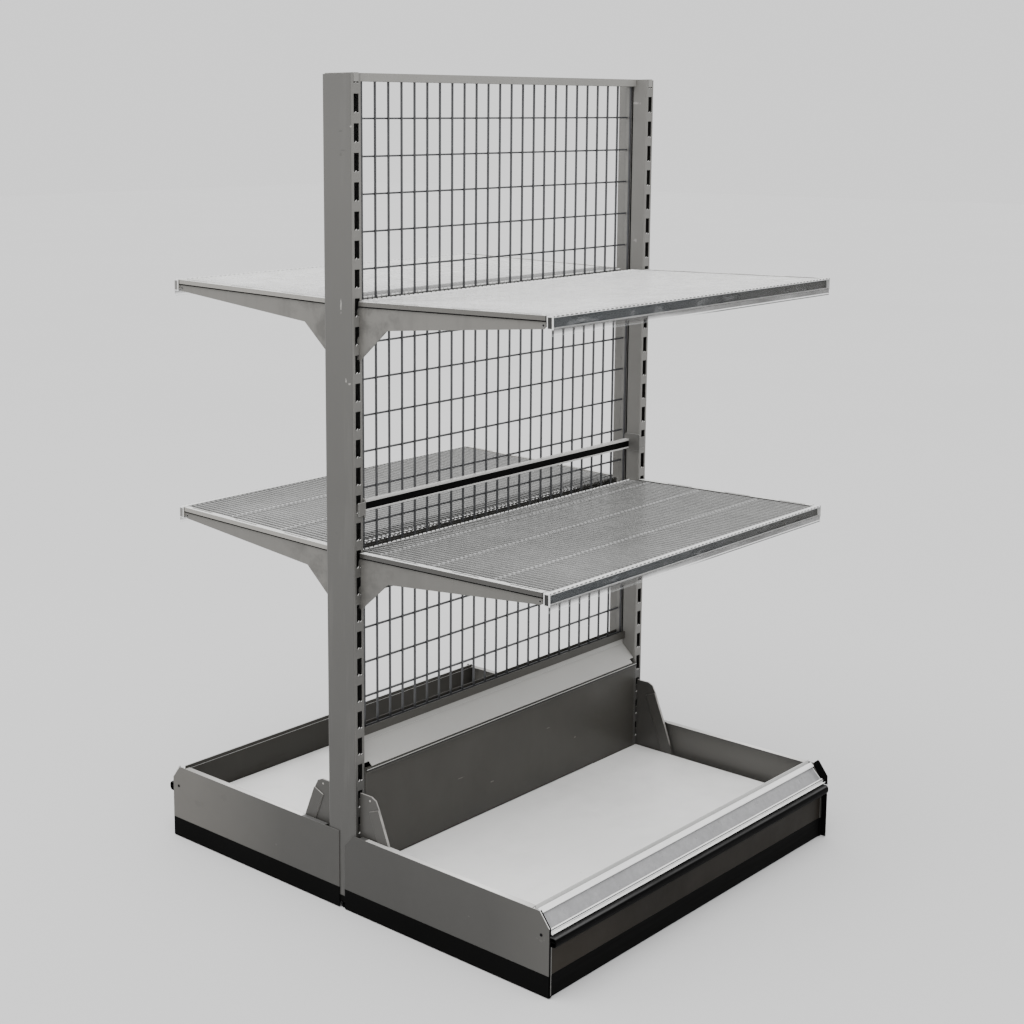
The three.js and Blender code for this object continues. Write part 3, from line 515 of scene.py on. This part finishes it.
def clear_plastic(name):
    """Thin clear sheet: haze, rubs, painted highlights on the cut edges, and the rail's painted shadow on its
    lower part.
    """
    g = Graph(name)
    up = g.above(FLAP_TOP_Z)
    below_rail = g.ranged(up, -0.0212, -0.0218)
    far = g.ranged(g.x, -0.12, 0.03)
    near = g.maths("SUBTRACT", 1.0, far)
    cloud = g.ranged(g.noise(9.0, 3.0, 0.5, g.mapped((1.0, 0.2, 0.2))), 0.35, 0.65, 0.70, 1.0)
    fade = g.maths("ADD", g.times(far, g.ranged(up, -0.0292, -0.0284, 0.0, 0.80)),
                   g.times(near, g.ranged(up, -0.0295, -0.0215, 0.0, 0.75)))
    shadow = g.times(below_rail, cloud, fade)
    foot_line = g.times(g.ranged(up, -0.0304, -0.0309), g.ranged(g.x, -0.05, 0.05, 0.10, 0.85))
    haze = g.ranged(g.noise(12.0, 5.0, 0.65), *NOISE_SPAN, 0.005, 0.025)
    # The opacity adds the painted shadow and the dark foot line to the haze.
    haze = g.maths("MAXIMUM", g.maths("ADD", haze, shadow), foot_line)
    rub = g.ranged(g.noise(60.0, 4.0, 0.6, g.mapped((0.3, 1.0, 1.0))), 0.60, 0.75, 0.0, 0.08)
    # Painted highlight along the cut edges.
    cut_edge = g.times(g.edge(0.0007), g.ranged(g.away(g.x), 0.4298, 0.4302), 0.8)
    g.feed("Alpha", g.maths("ADD", g.maths("ADD", haze, rub), cut_edge))
    tint = g.mixed(rub, (0.86, 0.88, 0.88), (0.94, 0.95, 0.95))
    tint = g.mixed(g.ranged(shadow, 0.02, 0.10), tint, (0.105, 0.104, 0.102))
    g.feed("Base Color", g.mixed(g.times(foot_line, 0.97), tint, (0.03, 0.03, 0.03)))
    g.feed("Specular IOR Level", 0.3)
    g.gloss(g.noise(30.0, 3.0), 0.08, 0.2)
    g.feed("IOR", 1.49)
    g.bump(g.noise(25.0, 2.0), 0.1, 0.0002)
    return g.material


def label_paper(name, color, coat, specular, tinted=False):
    """Plain card, mottled and softly streaked; tinted from cool to warm along the bay if asked."""
    g = Graph(name)
    base = mottled(g, color, 0.86, 1.12, 90.0, 4.0, 0.65)
    streak = g.noise(18.0, 3.0, 0.55, g.mapped((1.0, 0.12, 0.12)))
    base = g.mixed(g.ranged(streak, 0.52, 0.70, 0.0, 0.45), base, shade(color, 0.78))
    if tinted:
        tone = g.mixed(g.ranged(g.x, -0.20, 0.30), (1.0, 1.05, 1.12), (0.90, 0.84, 0.76))
        product = g.node("ShaderNodeVectorMath", operation="MULTIPLY")
        g.link(base, product.inputs[0])
        g.link(tone, product.inputs[1])
        base = product.outputs[0]
    g.feed("Base Color", base)
    g.gloss(g.noise(40.0, 3.0), 0.25, 0.42)
    g.feed("Specular IOR Level", specular)
    g.feed("Coat Weight", coat)
    g.feed("Coat Roughness", 0.15)
    g.bump(g.noise(300.0, 2.0), 0.15, 0.0001)
    return g.material


def extruded(g, color, low, line):
    """Base colour of an extruded rail, and its draw lines."""
    base = mottled(g, color, low, 1.04, 8.0, 4.0)
    draw = draw_lines(g, 300.0, 0.02)
    return g.mixed(g.ranged(draw, 0.45, 0.65, 0.0, 0.35), base, shade(color, line)), draw


def finish_rail(g, base, draw, coat, coat_rough):
    g.feed("Base Color", base)
    g.gloss(draw, 0.22, 0.36)
    g.feed("Coat Weight", coat)
    g.feed("Coat Roughness", coat_rough)
    g.edge(PLASTIC_EDGE)
    g.bump(draw, 0.25, 0.0001)
    return g.material


def rail_plastic(name, color):
    """Pale extruded rail with draw lines and patches of grime."""
    g = Graph(name)
    base, draw = extruded(g, color, 0.93, 0.82)
    grime = g.noise(30.0, 5.0, 0.7, g.mapped((0.3, 1.0, 1.0)))
    base = g.mixed(g.ranged(grime, 0.60, 0.75, 0.0, 0.35), base, shade(color, 0.62))
    return finish_rail(g, base, draw, 0.3, 0.12)


def shelf_rail(name, color, face):
    """The shelves' rail: painted shade on the lip, in the insert's dark tone, grey heel, painted shade in
    dashes between the wires along its top edge.
    """
    g = Graph(name)
    base, draw = extruded(g, color, 0.92, 0.78)
    up = g.above(RAIL_TOP_Z)
    # Painted shade on the lip, in the insert's dark tone.
    ahead = g.ranged(g.away(g.facing(1)), 0.8, 0.9)
    lip = g.times(ahead, g.ranged(up, -0.0042, -0.0038), g.ranged(up, -0.0024, -0.0027))
    base = g.mixed(lip, base, mottled(g, face, 1.9, 2.5, 90.0, 4.0, 0.65))
    heel = g.times(ahead, g.band(up, -0.0208, 0.0014, 0.0004), 0.9)
    heel_tone = g.mixed(g.ranged(g.x, -0.12, 0.03), (0.16, 0.16, 0.157), (0.085, 0.083, 0.08))
    base = g.mixed(heel, base, heel_tone)
    # Painted shade in dashes between the wires along the top edge.
    top = g.times(g.ranged(g.away(g.y), 0.4630, 0.4634), g.ranged(up, -0.0019, -0.0017))
    base = g.mixed(g.times(g.between_wires(0.27, 0.04), top, 0.95), base, shade(face, 0.35))
    return finish_rail(g, base, draw, 0.2, 0.15)


# Wire
def coated_wire(g, color, spread):
    """Base colour of drawn wire under a thin coat, with handling marks."""
    base = mottled(g, color, 1 - spread, 1 + spread, 24.0, 4.0, 0.6)
    patchy = g.ranged(g.noise(120.0, 3.0, 0.6), 0.62, 0.75, 0.0, 0.5)
    return g.mixed(patchy, base, shade(color, 0.55))


def finish_wire(g, base, rough, radius):
    g.feed("Base Color", base)
    g.gloss(g.noise(70.0, 3.0), rough - 0.06, rough + 0.1)
    g.feed("Metallic", 0.10)
    g.edge(radius)
    g.bump(g.noise(700.0, 2.0), 0.2, 0.0001)
    return g.material


def deck_wire(name, wire, wire_top, cap, cap_side):
    """Wire decks: painted lighter at the top level; painted highlights over the support wires, at most rear
    tips and along edges; painted shade by the uprights and between the wires on the front bar; grey side
    channels, painted light on top and shade on the flanks.
    """
    g = Graph(name)
    higher = g.top_level()
    out = g.away(g.y)
    # Painted light: the top decks' wire much paler than the middle decks'.
    base = g.mixed(higher, coated_wire(g, wire, 0.12), coated_wire(g, wire_top, 0.10))
    # Painted highlights over the support wires, in dotted lines across the deck.
    spots = None
    for place in SUPPORTS:
        one = g.band(out, place, 0.0022, 0.0012)
        spots = one if spots is None else g.maths("MAXIMUM", spots, one)
    base = g.mixed(g.times(spots, 0.30), base, shade(wire_top, 1.2))
    # Painted shade on the back decks next to the uprights.
    dark_root = g.times(g.ranged(out, 0.074, 0.066), g.back_side(), 0.75)
    base = g.mixed(dark_root, base, shade(wire, 0.30))
    # Painted highlight on the rear tips of the front and top decks.
    pale_ends = g.maths("MAXIMUM", higher, g.ranged(g.y, 0.01, -0.01))
    base = g.mixed(g.times(g.ranged(out, 0.0215, 0.0195), pale_ends, 0.9), base, (0.90, 0.90, 0.89))
    # Side channels: painted light on their tops, painted shade on the flanks, which are lighter at the top
    # level and on the back side.
    channel = g.ranged(g.away(g.x), 0.4172, 0.4178)
    up = g.ranged(g.facing(2), 0.80, 0.92)
    rub = g.ranged(g.noise(90.0, 4.0, 0.65), 0.60, 0.72, 0.0, 0.6)
    flank = g.mixed(higher, shade(cap_side, 0.50), shade(cap_side, 1.10))
    flank = g.mixed(g.back_side(), flank, shade(cap_side, 2.6))
    base = g.mixed(channel, base, g.mixed(up, flank, g.mixed(rub, cap, shade(cap, 0.45))))
    base = g.mixed(g.times(channel, g.band(out, 0.4494, 0.0008, 0.0003)), base, (0.012, 0.012, 0.011))
    # Painted shade between the wires on the front bar's top.
    on_bar = g.times(g.ranged(out, 0.4496, 0.4500), up, g.ranged(g.away(g.x), 0.4178, 0.4172))
    base = g.mixed(g.times(g.between_wires(0.20, 0.06), on_bar, 0.92), base, (0.015, 0.015, 0.015))
    # Painted highlight along the edges.
    base = g.mixed(g.times(g.edge(0.0013), 0.12), base, (0.75, 0.75, 0.74))
    return finish_wire(g, base, 0.24, 0.0013)


def panel_wire(name, wire, bar):
    """The mesh: dark satin wire; its two side bars are painted like the uprights, with painted shade on their
    front strip.
    """
    g = Graph(name)
    base = coated_wire(g, wire, 0.12)
    # The bars' front strip keeps the dark wire colour as painted shade.
    bars = g.times(g.ranged(g.away(g.x), 0.4160, 0.4166), g.ranged(g.y, 0.0055, 0.0065))
    base = g.mixed(bars, base, bar)
    base = g.mixed(g.ranged(g.noise(200.0, 2.0, 0.5), 0.60, 0.70, 0.0, 0.3), base, shade(wire, 1.8))
    return finish_wire(g, base, 0.34, 0.0011)


UPRIGHT = (0.165, 0.161, 0.151)
INSERT = (0.040, 0.042, 0.043)
RAIL_WHITE = (0.80, 0.80, 0.79)
MATERIALS = {
    "upright_paint": upright_paint("upright_paint", UPRIGHT),
    "rail_paint": painted("rail_paint", (0.235, 0.230, 0.216), rough=0.40, spread=0.08),
    "leg_paint": leg_paint("leg_paint", (0.050, 0.048, 0.044)),
    "bracket_paint": bracket_paint("bracket_paint", (0.122, 0.118, 0.109)),
    "panel_paint": panel_paint("panel_paint", (0.048, 0.0465, 0.043)),
    "dark_paint": riser_paint("dark_paint", (0.039, 0.037, 0.0325)),
    "brown_paint": fascia_paint("brown_paint", (0.0135, 0.0112, 0.0086)),
    "light_paint": painted("light_paint", (0.345, 0.34, 0.325), rough=0.40, spread=0.06, edge=0.8),
    "crossbar_paint": crossbar_paint("crossbar_paint", (0.52, 0.515, 0.50), UPRIGHT),
    "deck_paint": painted("deck_paint", (0.84, 0.835, 0.82), rough=0.34, spread=0.04, stain=0.30, edge=0.2),
    "deck_wire": deck_wire("deck_wire", (0.23, 0.23, 0.225), (0.88, 0.88, 0.87),
                           cap=(0.72, 0.72, 0.70), cap_side=(0.10, 0.096, 0.088)),
    "panel_wire": panel_wire("panel_wire", (0.045, 0.046, 0.049), bar=(0.16, 0.156, 0.146)),
    "black_plastic": plastic("black_plastic", (0.0032, 0.0032, 0.0031), rough=0.55, specular=0.02, dusty=0.35),
    "bumper_black": bumper_plastic("bumper_black", (0.0012, 0.0012, 0.0012)),
    "grey_plastic": rail_plastic("grey_plastic", (0.84, 0.84, 0.83)),
    "ticket_plastic": shelf_rail("ticket_plastic", RAIL_WHITE, face=INSERT),
    "clear_plastic": clear_plastic("clear_plastic"),
    "insert_grey": label_paper("insert_grey", INSERT, coat=0.0, specular=0.08, tinted=True),
    "label_grey": label_paper("label_grey", (0.235, 0.235, 0.24), coat=0.35, specular=0.5),
    "weld_bead": painted("weld_bead", (0.30, 0.29, 0.27), rough=0.35, spread=0.15, edge=0.3),
    "screw_black": plastic("screw_black", (0.004, 0.004, 0.004), specular=0.06),
    "zinc": painted("zinc", (0.15, 0.147, 0.14), rough=0.26, spread=0.08, specular=0.6),
    "end_dark": plastic("end_dark", (0.030, 0.030, 0.029), specular=0.15),
    "rod_dark": plastic("rod_dark", (0.042, 0.041, 0.038), rough=0.35, specular=0.2),
    "lip_grey": rail_plastic("lip_grey", (0.50, 0.50, 0.49)),
    "end_white": rail_plastic("end_white", RAIL_WHITE),
    "edge_highlight": painted("edge_highlight", (0.62, 0.61, 0.59), rough=0.28, spread=0.08, specular=0.6, edge=0.3),
}

# Nodes whose material isn't the one named like their slot
OWN_NODES = {"top_rail": "rail_paint", "crossbar": "crossbar_paint"}
OWN_ENDINGS = {"_base_leg": "leg_paint", "_bracket": "bracket_paint", "_bumper": "bumper_black"}
slot_of = {row["node"]: row["material_slot"] for row in frame["record"]["subparts"]}
for name, obj in nodes.items():
    pick = OWN_NODES.get(name, slot_of[name])
    for ending, material in OWN_ENDINGS.items():
        if name.endswith(ending):
            pick = material
    obj.data.materials.clear()
    obj.data.materials.append(MATERIALS[pick])


# Small pieces
def mesh_piece(name, mesh, body, material):
    data = bpy.data.meshes.new(name)
    bmesh.ops.recalc_face_normals(mesh, faces=mesh.faces)
    mesh.to_mesh(data)
    mesh.free()
    obj = add_object(name, data)
    data.materials.append(MATERIALS[material])
    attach(obj, body)


def plate(outline, x0, x1, bevel=0.0002):
    """A thin plate from an outline in (y, z) metres, between two places along the bay."""
    mesh = bmesh.new()
    near = [mesh.verts.new((x0, y, z)) for y, z in outline]
    far = [mesh.verts.new((x1, y, z)) for y, z in outline]
    mesh.faces.new(near)
    mesh.faces.new(list(reversed(far)))
    for i in range(len(outline)):
        j = (i + 1) % len(outline)
        mesh.faces.new((near[j], near[i], far[i], far[j]))
    bmesh.ops.recalc_face_normals(mesh, faces=mesh.faces)
    if bevel:
        bmesh.ops.bevel(mesh, geom=list(mesh.edges), offset=bevel, segments=2, affect="EDGES", profile=0.5)
    return mesh


def side_plate(outline, side, x0, x1, bevel):
    """A plate on one side of the bay, from |x| in millimetres."""
    return plate(outline, *sorted((side * x0 * MM, side * x1 * MM)), bevel)


def turned(profile, at, side, steps=20):
    """A turned piece on an axis along X, from (radius, height) pairs, outwards to the side."""
    mesh = bmesh.new()
    rings = []
    for radius, height in profile:
        x = at[0] + side * height
        if radius == 0:
            rings.append([mesh.verts.new((x, at[1], at[2]))])
            continue
        ring = []
        for i in range(steps):
            a = 2 * math.pi * i / steps
            ring.append(mesh.verts.new((x, at[1] + radius * math.cos(a), at[2] + radius * math.sin(a))))
        rings.append(ring)
    for low, high in zip(rings, rings[1:]):
        for i in range(steps):
            j = (i + 1) % steps
            if len(low) == 1:
                mesh.faces.new((low[0], high[i], high[j]))
            elif len(high) == 1:
                mesh.faces.new((low[i], low[j], high[0]))
            else:
                mesh.faces.new((low[i], low[j], high[j], high[i]))
    for face in mesh.faces:
        face.smooth = True
    return mesh


def rod(mesh, start, end, radius, steps=8):
    """Adds a straight rod with chamfered ends to the mesh."""
    start, end = Vector(start), Vector(end)
    along = (end - start).normalized()
    across = along.orthogonal().normalized()
    other = along.cross(across)
    rings = []
    for at, scale, shift in ((start, 0.55, -0.3), (start, 1.0, 0.0), (end, 1.0, 0.0), (end, 0.55, 0.3)):
        middle = at + along * (shift * radius)
        ring = []
        for i in range(steps):
            a = 2 * math.pi * i / steps
            spoke = across * math.cos(a) + other * math.sin(a)
            ring.append(mesh.verts.new(middle + spoke * (radius * scale)))
        rings.append(ring)
    mesh.faces.new(list(reversed(rings[0])))
    mesh.faces.new(rings[-1])
    for low, high in zip(rings, rings[1:]):
        for i in range(steps):
            j = (i + 1) % steps
            mesh.faces.new((low[i], low[j], high[j], high[i])).smooth = True


def end_name(face, side):
    """Left or right, as seen by someone who faces that side of the shelving."""
    return "left" if (side < 0) == (face == "front") else "right"


def tray_outline(points, s):
    """Millimetres to (y, z) metres on one side of the shelving."""
    return [(s * y * MM, z * MM) for y, z in points]


def slant_outline(points, s):
    """Points (along, depth) of the base ticket rail's own frame, in (y, z) metres."""
    root = math.sqrt(0.5)
    return [(s * (458 + (along + depth) * root) * MM, (151 + (depth - along) * root) * MM)
            for along, depth in points]


DECK_TILT = math.atan2(8, 420)
DECK_BASE = {"middle": 680, "top": 1130}


def deck_point(out, up, level, s):
    """A point of the shelf deck's own frame, in (y, z) metres."""
    y = 35 + out * math.cos(DECK_TILT) - up * math.sin(DECK_TILT)
    return (s * y * MM, (DECK_BASE[level] + out * math.sin(DECK_TILT) + up * math.cos(DECK_TILT)) * MM)


def deck_outline(points, level, s):
    return [deck_point(out, up, level, s) for out, up in points]


# Labels in the slanted base rails, with a dark strip in each painted as the shade of a gap
LABEL = ((10.3, -4.4), (37.1, -4.4), (37.1, -3.7), (10.3, -3.7))
GAP_SHADE = ((39.9, -1.45), (41.5, -1.45), (41.5, -1.25), (39.9, -1.25))
for face, s in FACES:
    mesh_piece(f"{face}_base_label", plate(slant_outline(LABEL, s), -0.4398, 0.4398, 0.00015),
               "root", "label_grey")
    # Dark strip painted as the shade in the rail's gap.
    mesh_piece(f"{face}_base_rail_gap_shade", plate(slant_outline(GAP_SHADE, s), -0.4425, 0.4425, 0),
               "root", "insert_grey")


# Rear lips behind the base rails: brown sheet inside, pale plastic outside and on top
LIP_SHEET = ((451.4, 147.0), (451.9, 147.0), (451.9, 153.8), (451.4, 153.8))
LIP_EDGE = ((451.9, 145.8), (453.0, 145.8), (453.0, 154.6), (451.9, 154.6))
for face, s in FACES:
    for part, material, slot, points in (("lip_sheet", "brown_paint", "brown_paint", LIP_SHEET),
                                         ("lip_edge", "lip_grey", "grey_plastic", LIP_EDGE)):
        mesh_piece(f"{face}_base_{part}", plate(tray_outline(points, s), -0.4425, 0.4425, 0.0001),
                   "root", material)


# Dark inserts in the shelves' ticket rails
INSERT_STRIP = ((421.9, -1.6), (421.9, -20.3), (422.6, -20.3), (422.6, -1.6))
for face, s, level in SHELVES:
    mesh_piece(f"{face}_{level}_ticket_insert",
               plate(deck_outline(INSERT_STRIP, level, s), -0.4298, 0.4298, 0.00015),
               f"{face}_{level}_shelf", "insert_grey")


# End pieces of the shelves' ticket rails: dark or bare outside, white inside and along the front edge
END_CAP = ((419.2, -2.2), (427.2, -2.2), (427.2, -20.3), (419.2, -20.3))
END_LINING = ((417.2, -0.1), (427.8, -0.1), (427.8, -22.2), (417.8, -22.2), (415.4, -20.8), (417.2, -19.8))
END_RIM = ((427.8, 0.1), (429.7, 0.1), (429.7, -22.2), (427.8, -22.2))
for face, s, level in SHELVES:
    cap = "end_dark" if face == "front" else "zinc"
    for side in SIDES:
        for part, material, x0, x1, points in (("cap", cap, 431.9, 431.2, END_CAP),
                                               ("lining", "end_white", 431.6, 431.15, END_LINING),
                                               ("rim", "end_white", 431.5, 430.0, END_RIM)):
            mesh_piece(f"{face}_{level}_{end_name(face, side)}_rail_end_{part}",
                       side_plate(deck_outline(points, level, s), side, x0, x1, 0.00012),
                       f"{face}_{level}_shelf", material)


# Black trims on the side panels' front edges; the front right one stands further out. By the other three, pale
# strips are painted highlights on the chamfer edge and the front corner
def tray_piece(name, s, side, points, x0, x1, bevel, material):
    mesh_piece(name, side_plate(tray_outline(points, s), side, x0, x1, bevel), "root", material)


def edge_trims(name, s, side, upper, lower, x0, x1, bevel):
    for part, points in (("upper", upper), ("lower", lower)):
        tray_piece(f"{name}_{part}_edge_trim", s, side, points, x0, x1, bevel, "black_plastic")


WIDE_UPPER = ((463.0, 144.0), (464.0, 151.6), (470.8, 157.6), (474.2, 157.0), (494.4, 129.4), (494.9, 111.8),
              (478.5, 111.8), (478.5, 122.5))
WIDE_LOWER = ((483.4, 1.2), (494.9, 1.2), (494.9, 92.6), (483.4, 92.6))
THIN_UPPER = ((464.6, 150.3), (485.2, 123.8), (485.2, 111.8), (486.8, 111.8), (486.8, 124.6), (466.0, 151.6))
THIN_LOWER = ((485.2, 1.2), (486.8, 1.2), (486.8, 92.6), (485.2, 92.6))
EDGE_HIGHLIGHT = ((464.4, 150.1), (484.9, 124.0), (485.8, 124.5), (465.2, 150.8))
CORNER_STRIP = ((485.2, 5), (486.4, 5), (486.4, 92.4), (485.2, 92.4))
edge_trims("front_right", -1, 1, WIDE_UPPER, WIDE_LOWER, 445.1, 447.4, 0.0003)
for name, s, side in (("front_left", -1, -1), ("back_left", 1, 1), ("back_right", 1, -1)):
    edge_trims(name, s, side, THIN_UPPER, THIN_LOWER, 445.8, 443.9, 0.0002)
    # Pale strip painted as the highlight on the chamfer's edge.
    tray_piece(f"{name}_edge_highlight", s, side, EDGE_HIGHLIGHT, 447.1, 446.1, 0.0001, "edge_highlight")
    # Pale strip painted as the highlight on the front corner.
    tray_piece(f"{name}_corner_strip", s, side, CORNER_STRIP, 443.8, 441.9, 0.0003, "zinc")


# Black strips painted as the shadow under the channels along the sides of the shelf decks
CHANNEL_SHADOW = ((1.5, -7.7), (414.8, -7.7), (414.8, -10.1), (1.5, -10.1))
for face, s, level in SHELVES:
    for side in SIDES:
        mesh_piece(f"{face}_{level}_{end_name(face, side)}_deck_edging",
                   side_plate(deck_outline(CHANNEL_SHADOW, level, s), side, 429.7, 430.9, 0.0002),
                   f"{face}_{level}_shelf", "black_plastic")


# Rear ends of the deck wires, with a short bar at each tip, over a flange of thin rods
FLANGE = ((-16.4, -3.4), (-15.8, -3.4), (-15.8, -22.6), (-16.4, -22.6))
FLANGE_X = 0.4125
TIP_HALF = 0.0036
for face, s, level in SHELVES:
    body = f"{face}_{level}_shelf"
    # Tips painted white as a highlight on the front decks, and dark as shade on the back middle decks.
    tip = "end_white" if face == "front" else "deck_wire" if level == "top" else "rod_dark"
    ends, tips, rods = bmesh.new(), bmesh.new(), bmesh.new()
    inner, outer = deck_outline(((0.9, -1.6), (-17.6, -1.6)), level, s)
    at_tip = deck_point(-17.9, -1.0, level, s)
    for i in WIRES:
        x = i * WIRE_PITCH
        rod(ends, (x, *inner), (x, *outer), 0.0015)
        rod(tips, (x - TIP_HALF, *at_tip), (x + TIP_HALF, *at_tip), 0.0014)
    for i in range(6):
        at = deck_point(-17.9, -4.2 - 3.4 * i, level, s)
        rod(rods, (-FLANGE_X, *at), (FLANGE_X, *at), 0.0013)
    flange = plate(deck_outline(FLANGE, level, s), -FLANGE_X, FLANGE_X, 0.0001)
    for part, mesh, material in (("wire_ends", ends, "deck_wire"), ("wire_tips", tips, tip),
                                 ("rear_rods", rods, "rod_dark"), ("rear_flange", flange, "rod_dark")):
        mesh_piece(f"{face}_{level}_{part}", mesh, body, material)


# Turned pieces, as (radius, height) pairs
SCREW = ((0.0, 0.0003), (0.0008, 0.0003), (0.0012, 0.0013), (0.0021, 0.0011), (0.0027, 0.0005),
         (0.0028, -0.0004), (0.0, -0.0004))
RING = ((0.0019, -0.0003), (0.0019, 0.0004), (0.0023, 0.0007), (0.0029, 0.0005), (0.0032, 0.0),
        (0.0032, -0.0003), (0.0019, -0.0003))
HOLE = ((0.0, 0.00018), (0.0012, 0.00022), (0.0019, 0.00018), (0.0019, -0.0003), (0.0, -0.0003))
BEAD = ((0.0, 0.55), (0.5, 0.47), (0.85, 0.22), (1.0, -0.2), (0.0, -0.2))

# Screws of the side panels
for face, s in FACES:
    for side in SIDES:
        mesh_piece(f"{face}_{end_name(face, side)}_panel_screw",
                   turned(SCREW, (side * PANEL_END_X, s * 0.4682, 0.1087), side),
                   "root", "screw_black")

# Tube rivets near the shelf brackets' tips, with a black disc painted as the shade in each hole
for face, s, level in SHELVES:
    y, z = deck_point(408.2, -16.2, level, s)
    for side in SIDES:
        name = f"{face}_{level}_{end_name(face, side)}_rivet"
        at = (side * BRACKET_X, y, z)
        mesh_piece(f"{name}_ring", turned(RING, at, side), "root", "zinc")
        mesh_piece(f"{name}_hole", turned(HOLE, at, side, 16), "root", "screw_black")

# Weld beads along the gussets: |y|, z and radius in millimetres
WELDS = ((60.8, 222.5, 2.2), (83.2, 186.2, 1.7), (89.6, 170.4, 1.7), (91.6, 161.6, 1.5), (106.2, 130.0, 1.6))
for face, s in FACES:
    for side in SIDES:
        for i, (out, z, r) in enumerate(WELDS):
            dome = [(radius * r * MM, height * r * MM) for radius, height in BEAD]
            mesh_piece(f"{face}_{end_name(face, side)}_weld_{i + 1}",
                       turned(dome, (side * 0.434, s * out * MM, z * MM), side, 12),
                       "root", "weld_bead")


# Floor and light
def make_stage():
    mesh = bmesh.new()
    bmesh.ops.create_grid(mesh, x_segments=2, y_segments=2, size=25)
    data = bpy.data.meshes.new("floor")
    mesh.to_mesh(data)
    mesh.free()
    floor = add_object("floor", data)
    floor.location.z = -0.0005
    g = Graph("floor_white")
    tone = g.ranged(g.noise(0.8, 2.0), *NOISE_SPAN)
    g.feed("Base Color", g.mixed(tone, (0.555, 0.555, 0.555), (0.565, 0.565, 0.565)))
    g.feed("Roughness", 0.9)
    g.feed("Specular IOR Level", 0.1)
    data.materials.append(g.material)
    world = bpy.data.worlds.new("studio")
    world.use_nodes = True
    back = world.node_tree.nodes["Background"]
    back.inputs["Color"].default_value = (1, 1, 1, 1)
    back.inputs["Strength"].default_value = 1.2
    bpy.context.scene.world = world


def sun_light(name, direction, strength, spread):
    data = bpy.data.lights.new(name, "SUN")
    data.energy = strength
    data.angle = math.radians(spread)
    lamp = add_object(name, data)
    lamp.rotation_euler = Vector(direction).to_track_quat("-Z", "Y").to_euler()


def area_light(name, at, target, size, power):
    data = bpy.data.lights.new(name, "AREA")
    data.shape = "RECTANGLE"
    data.size, data.size_y = size
    data.energy = power
    lamp = add_object(name, data)
    lamp.location = at
    lamp.rotation_euler = (Vector(target) - Vector(at)).to_track_quat("-Z", "Y").to_euler()


make_stage()
sun_light("ceiling", direction=(0.30, 0.08, -1.0), strength=3.3, spread=60)
area_light("rear_left", at=(-2.6, 2.4, 2.7), target=(-0.4, 0.3, 0.6), size=(1.6, 1.6), power=22)
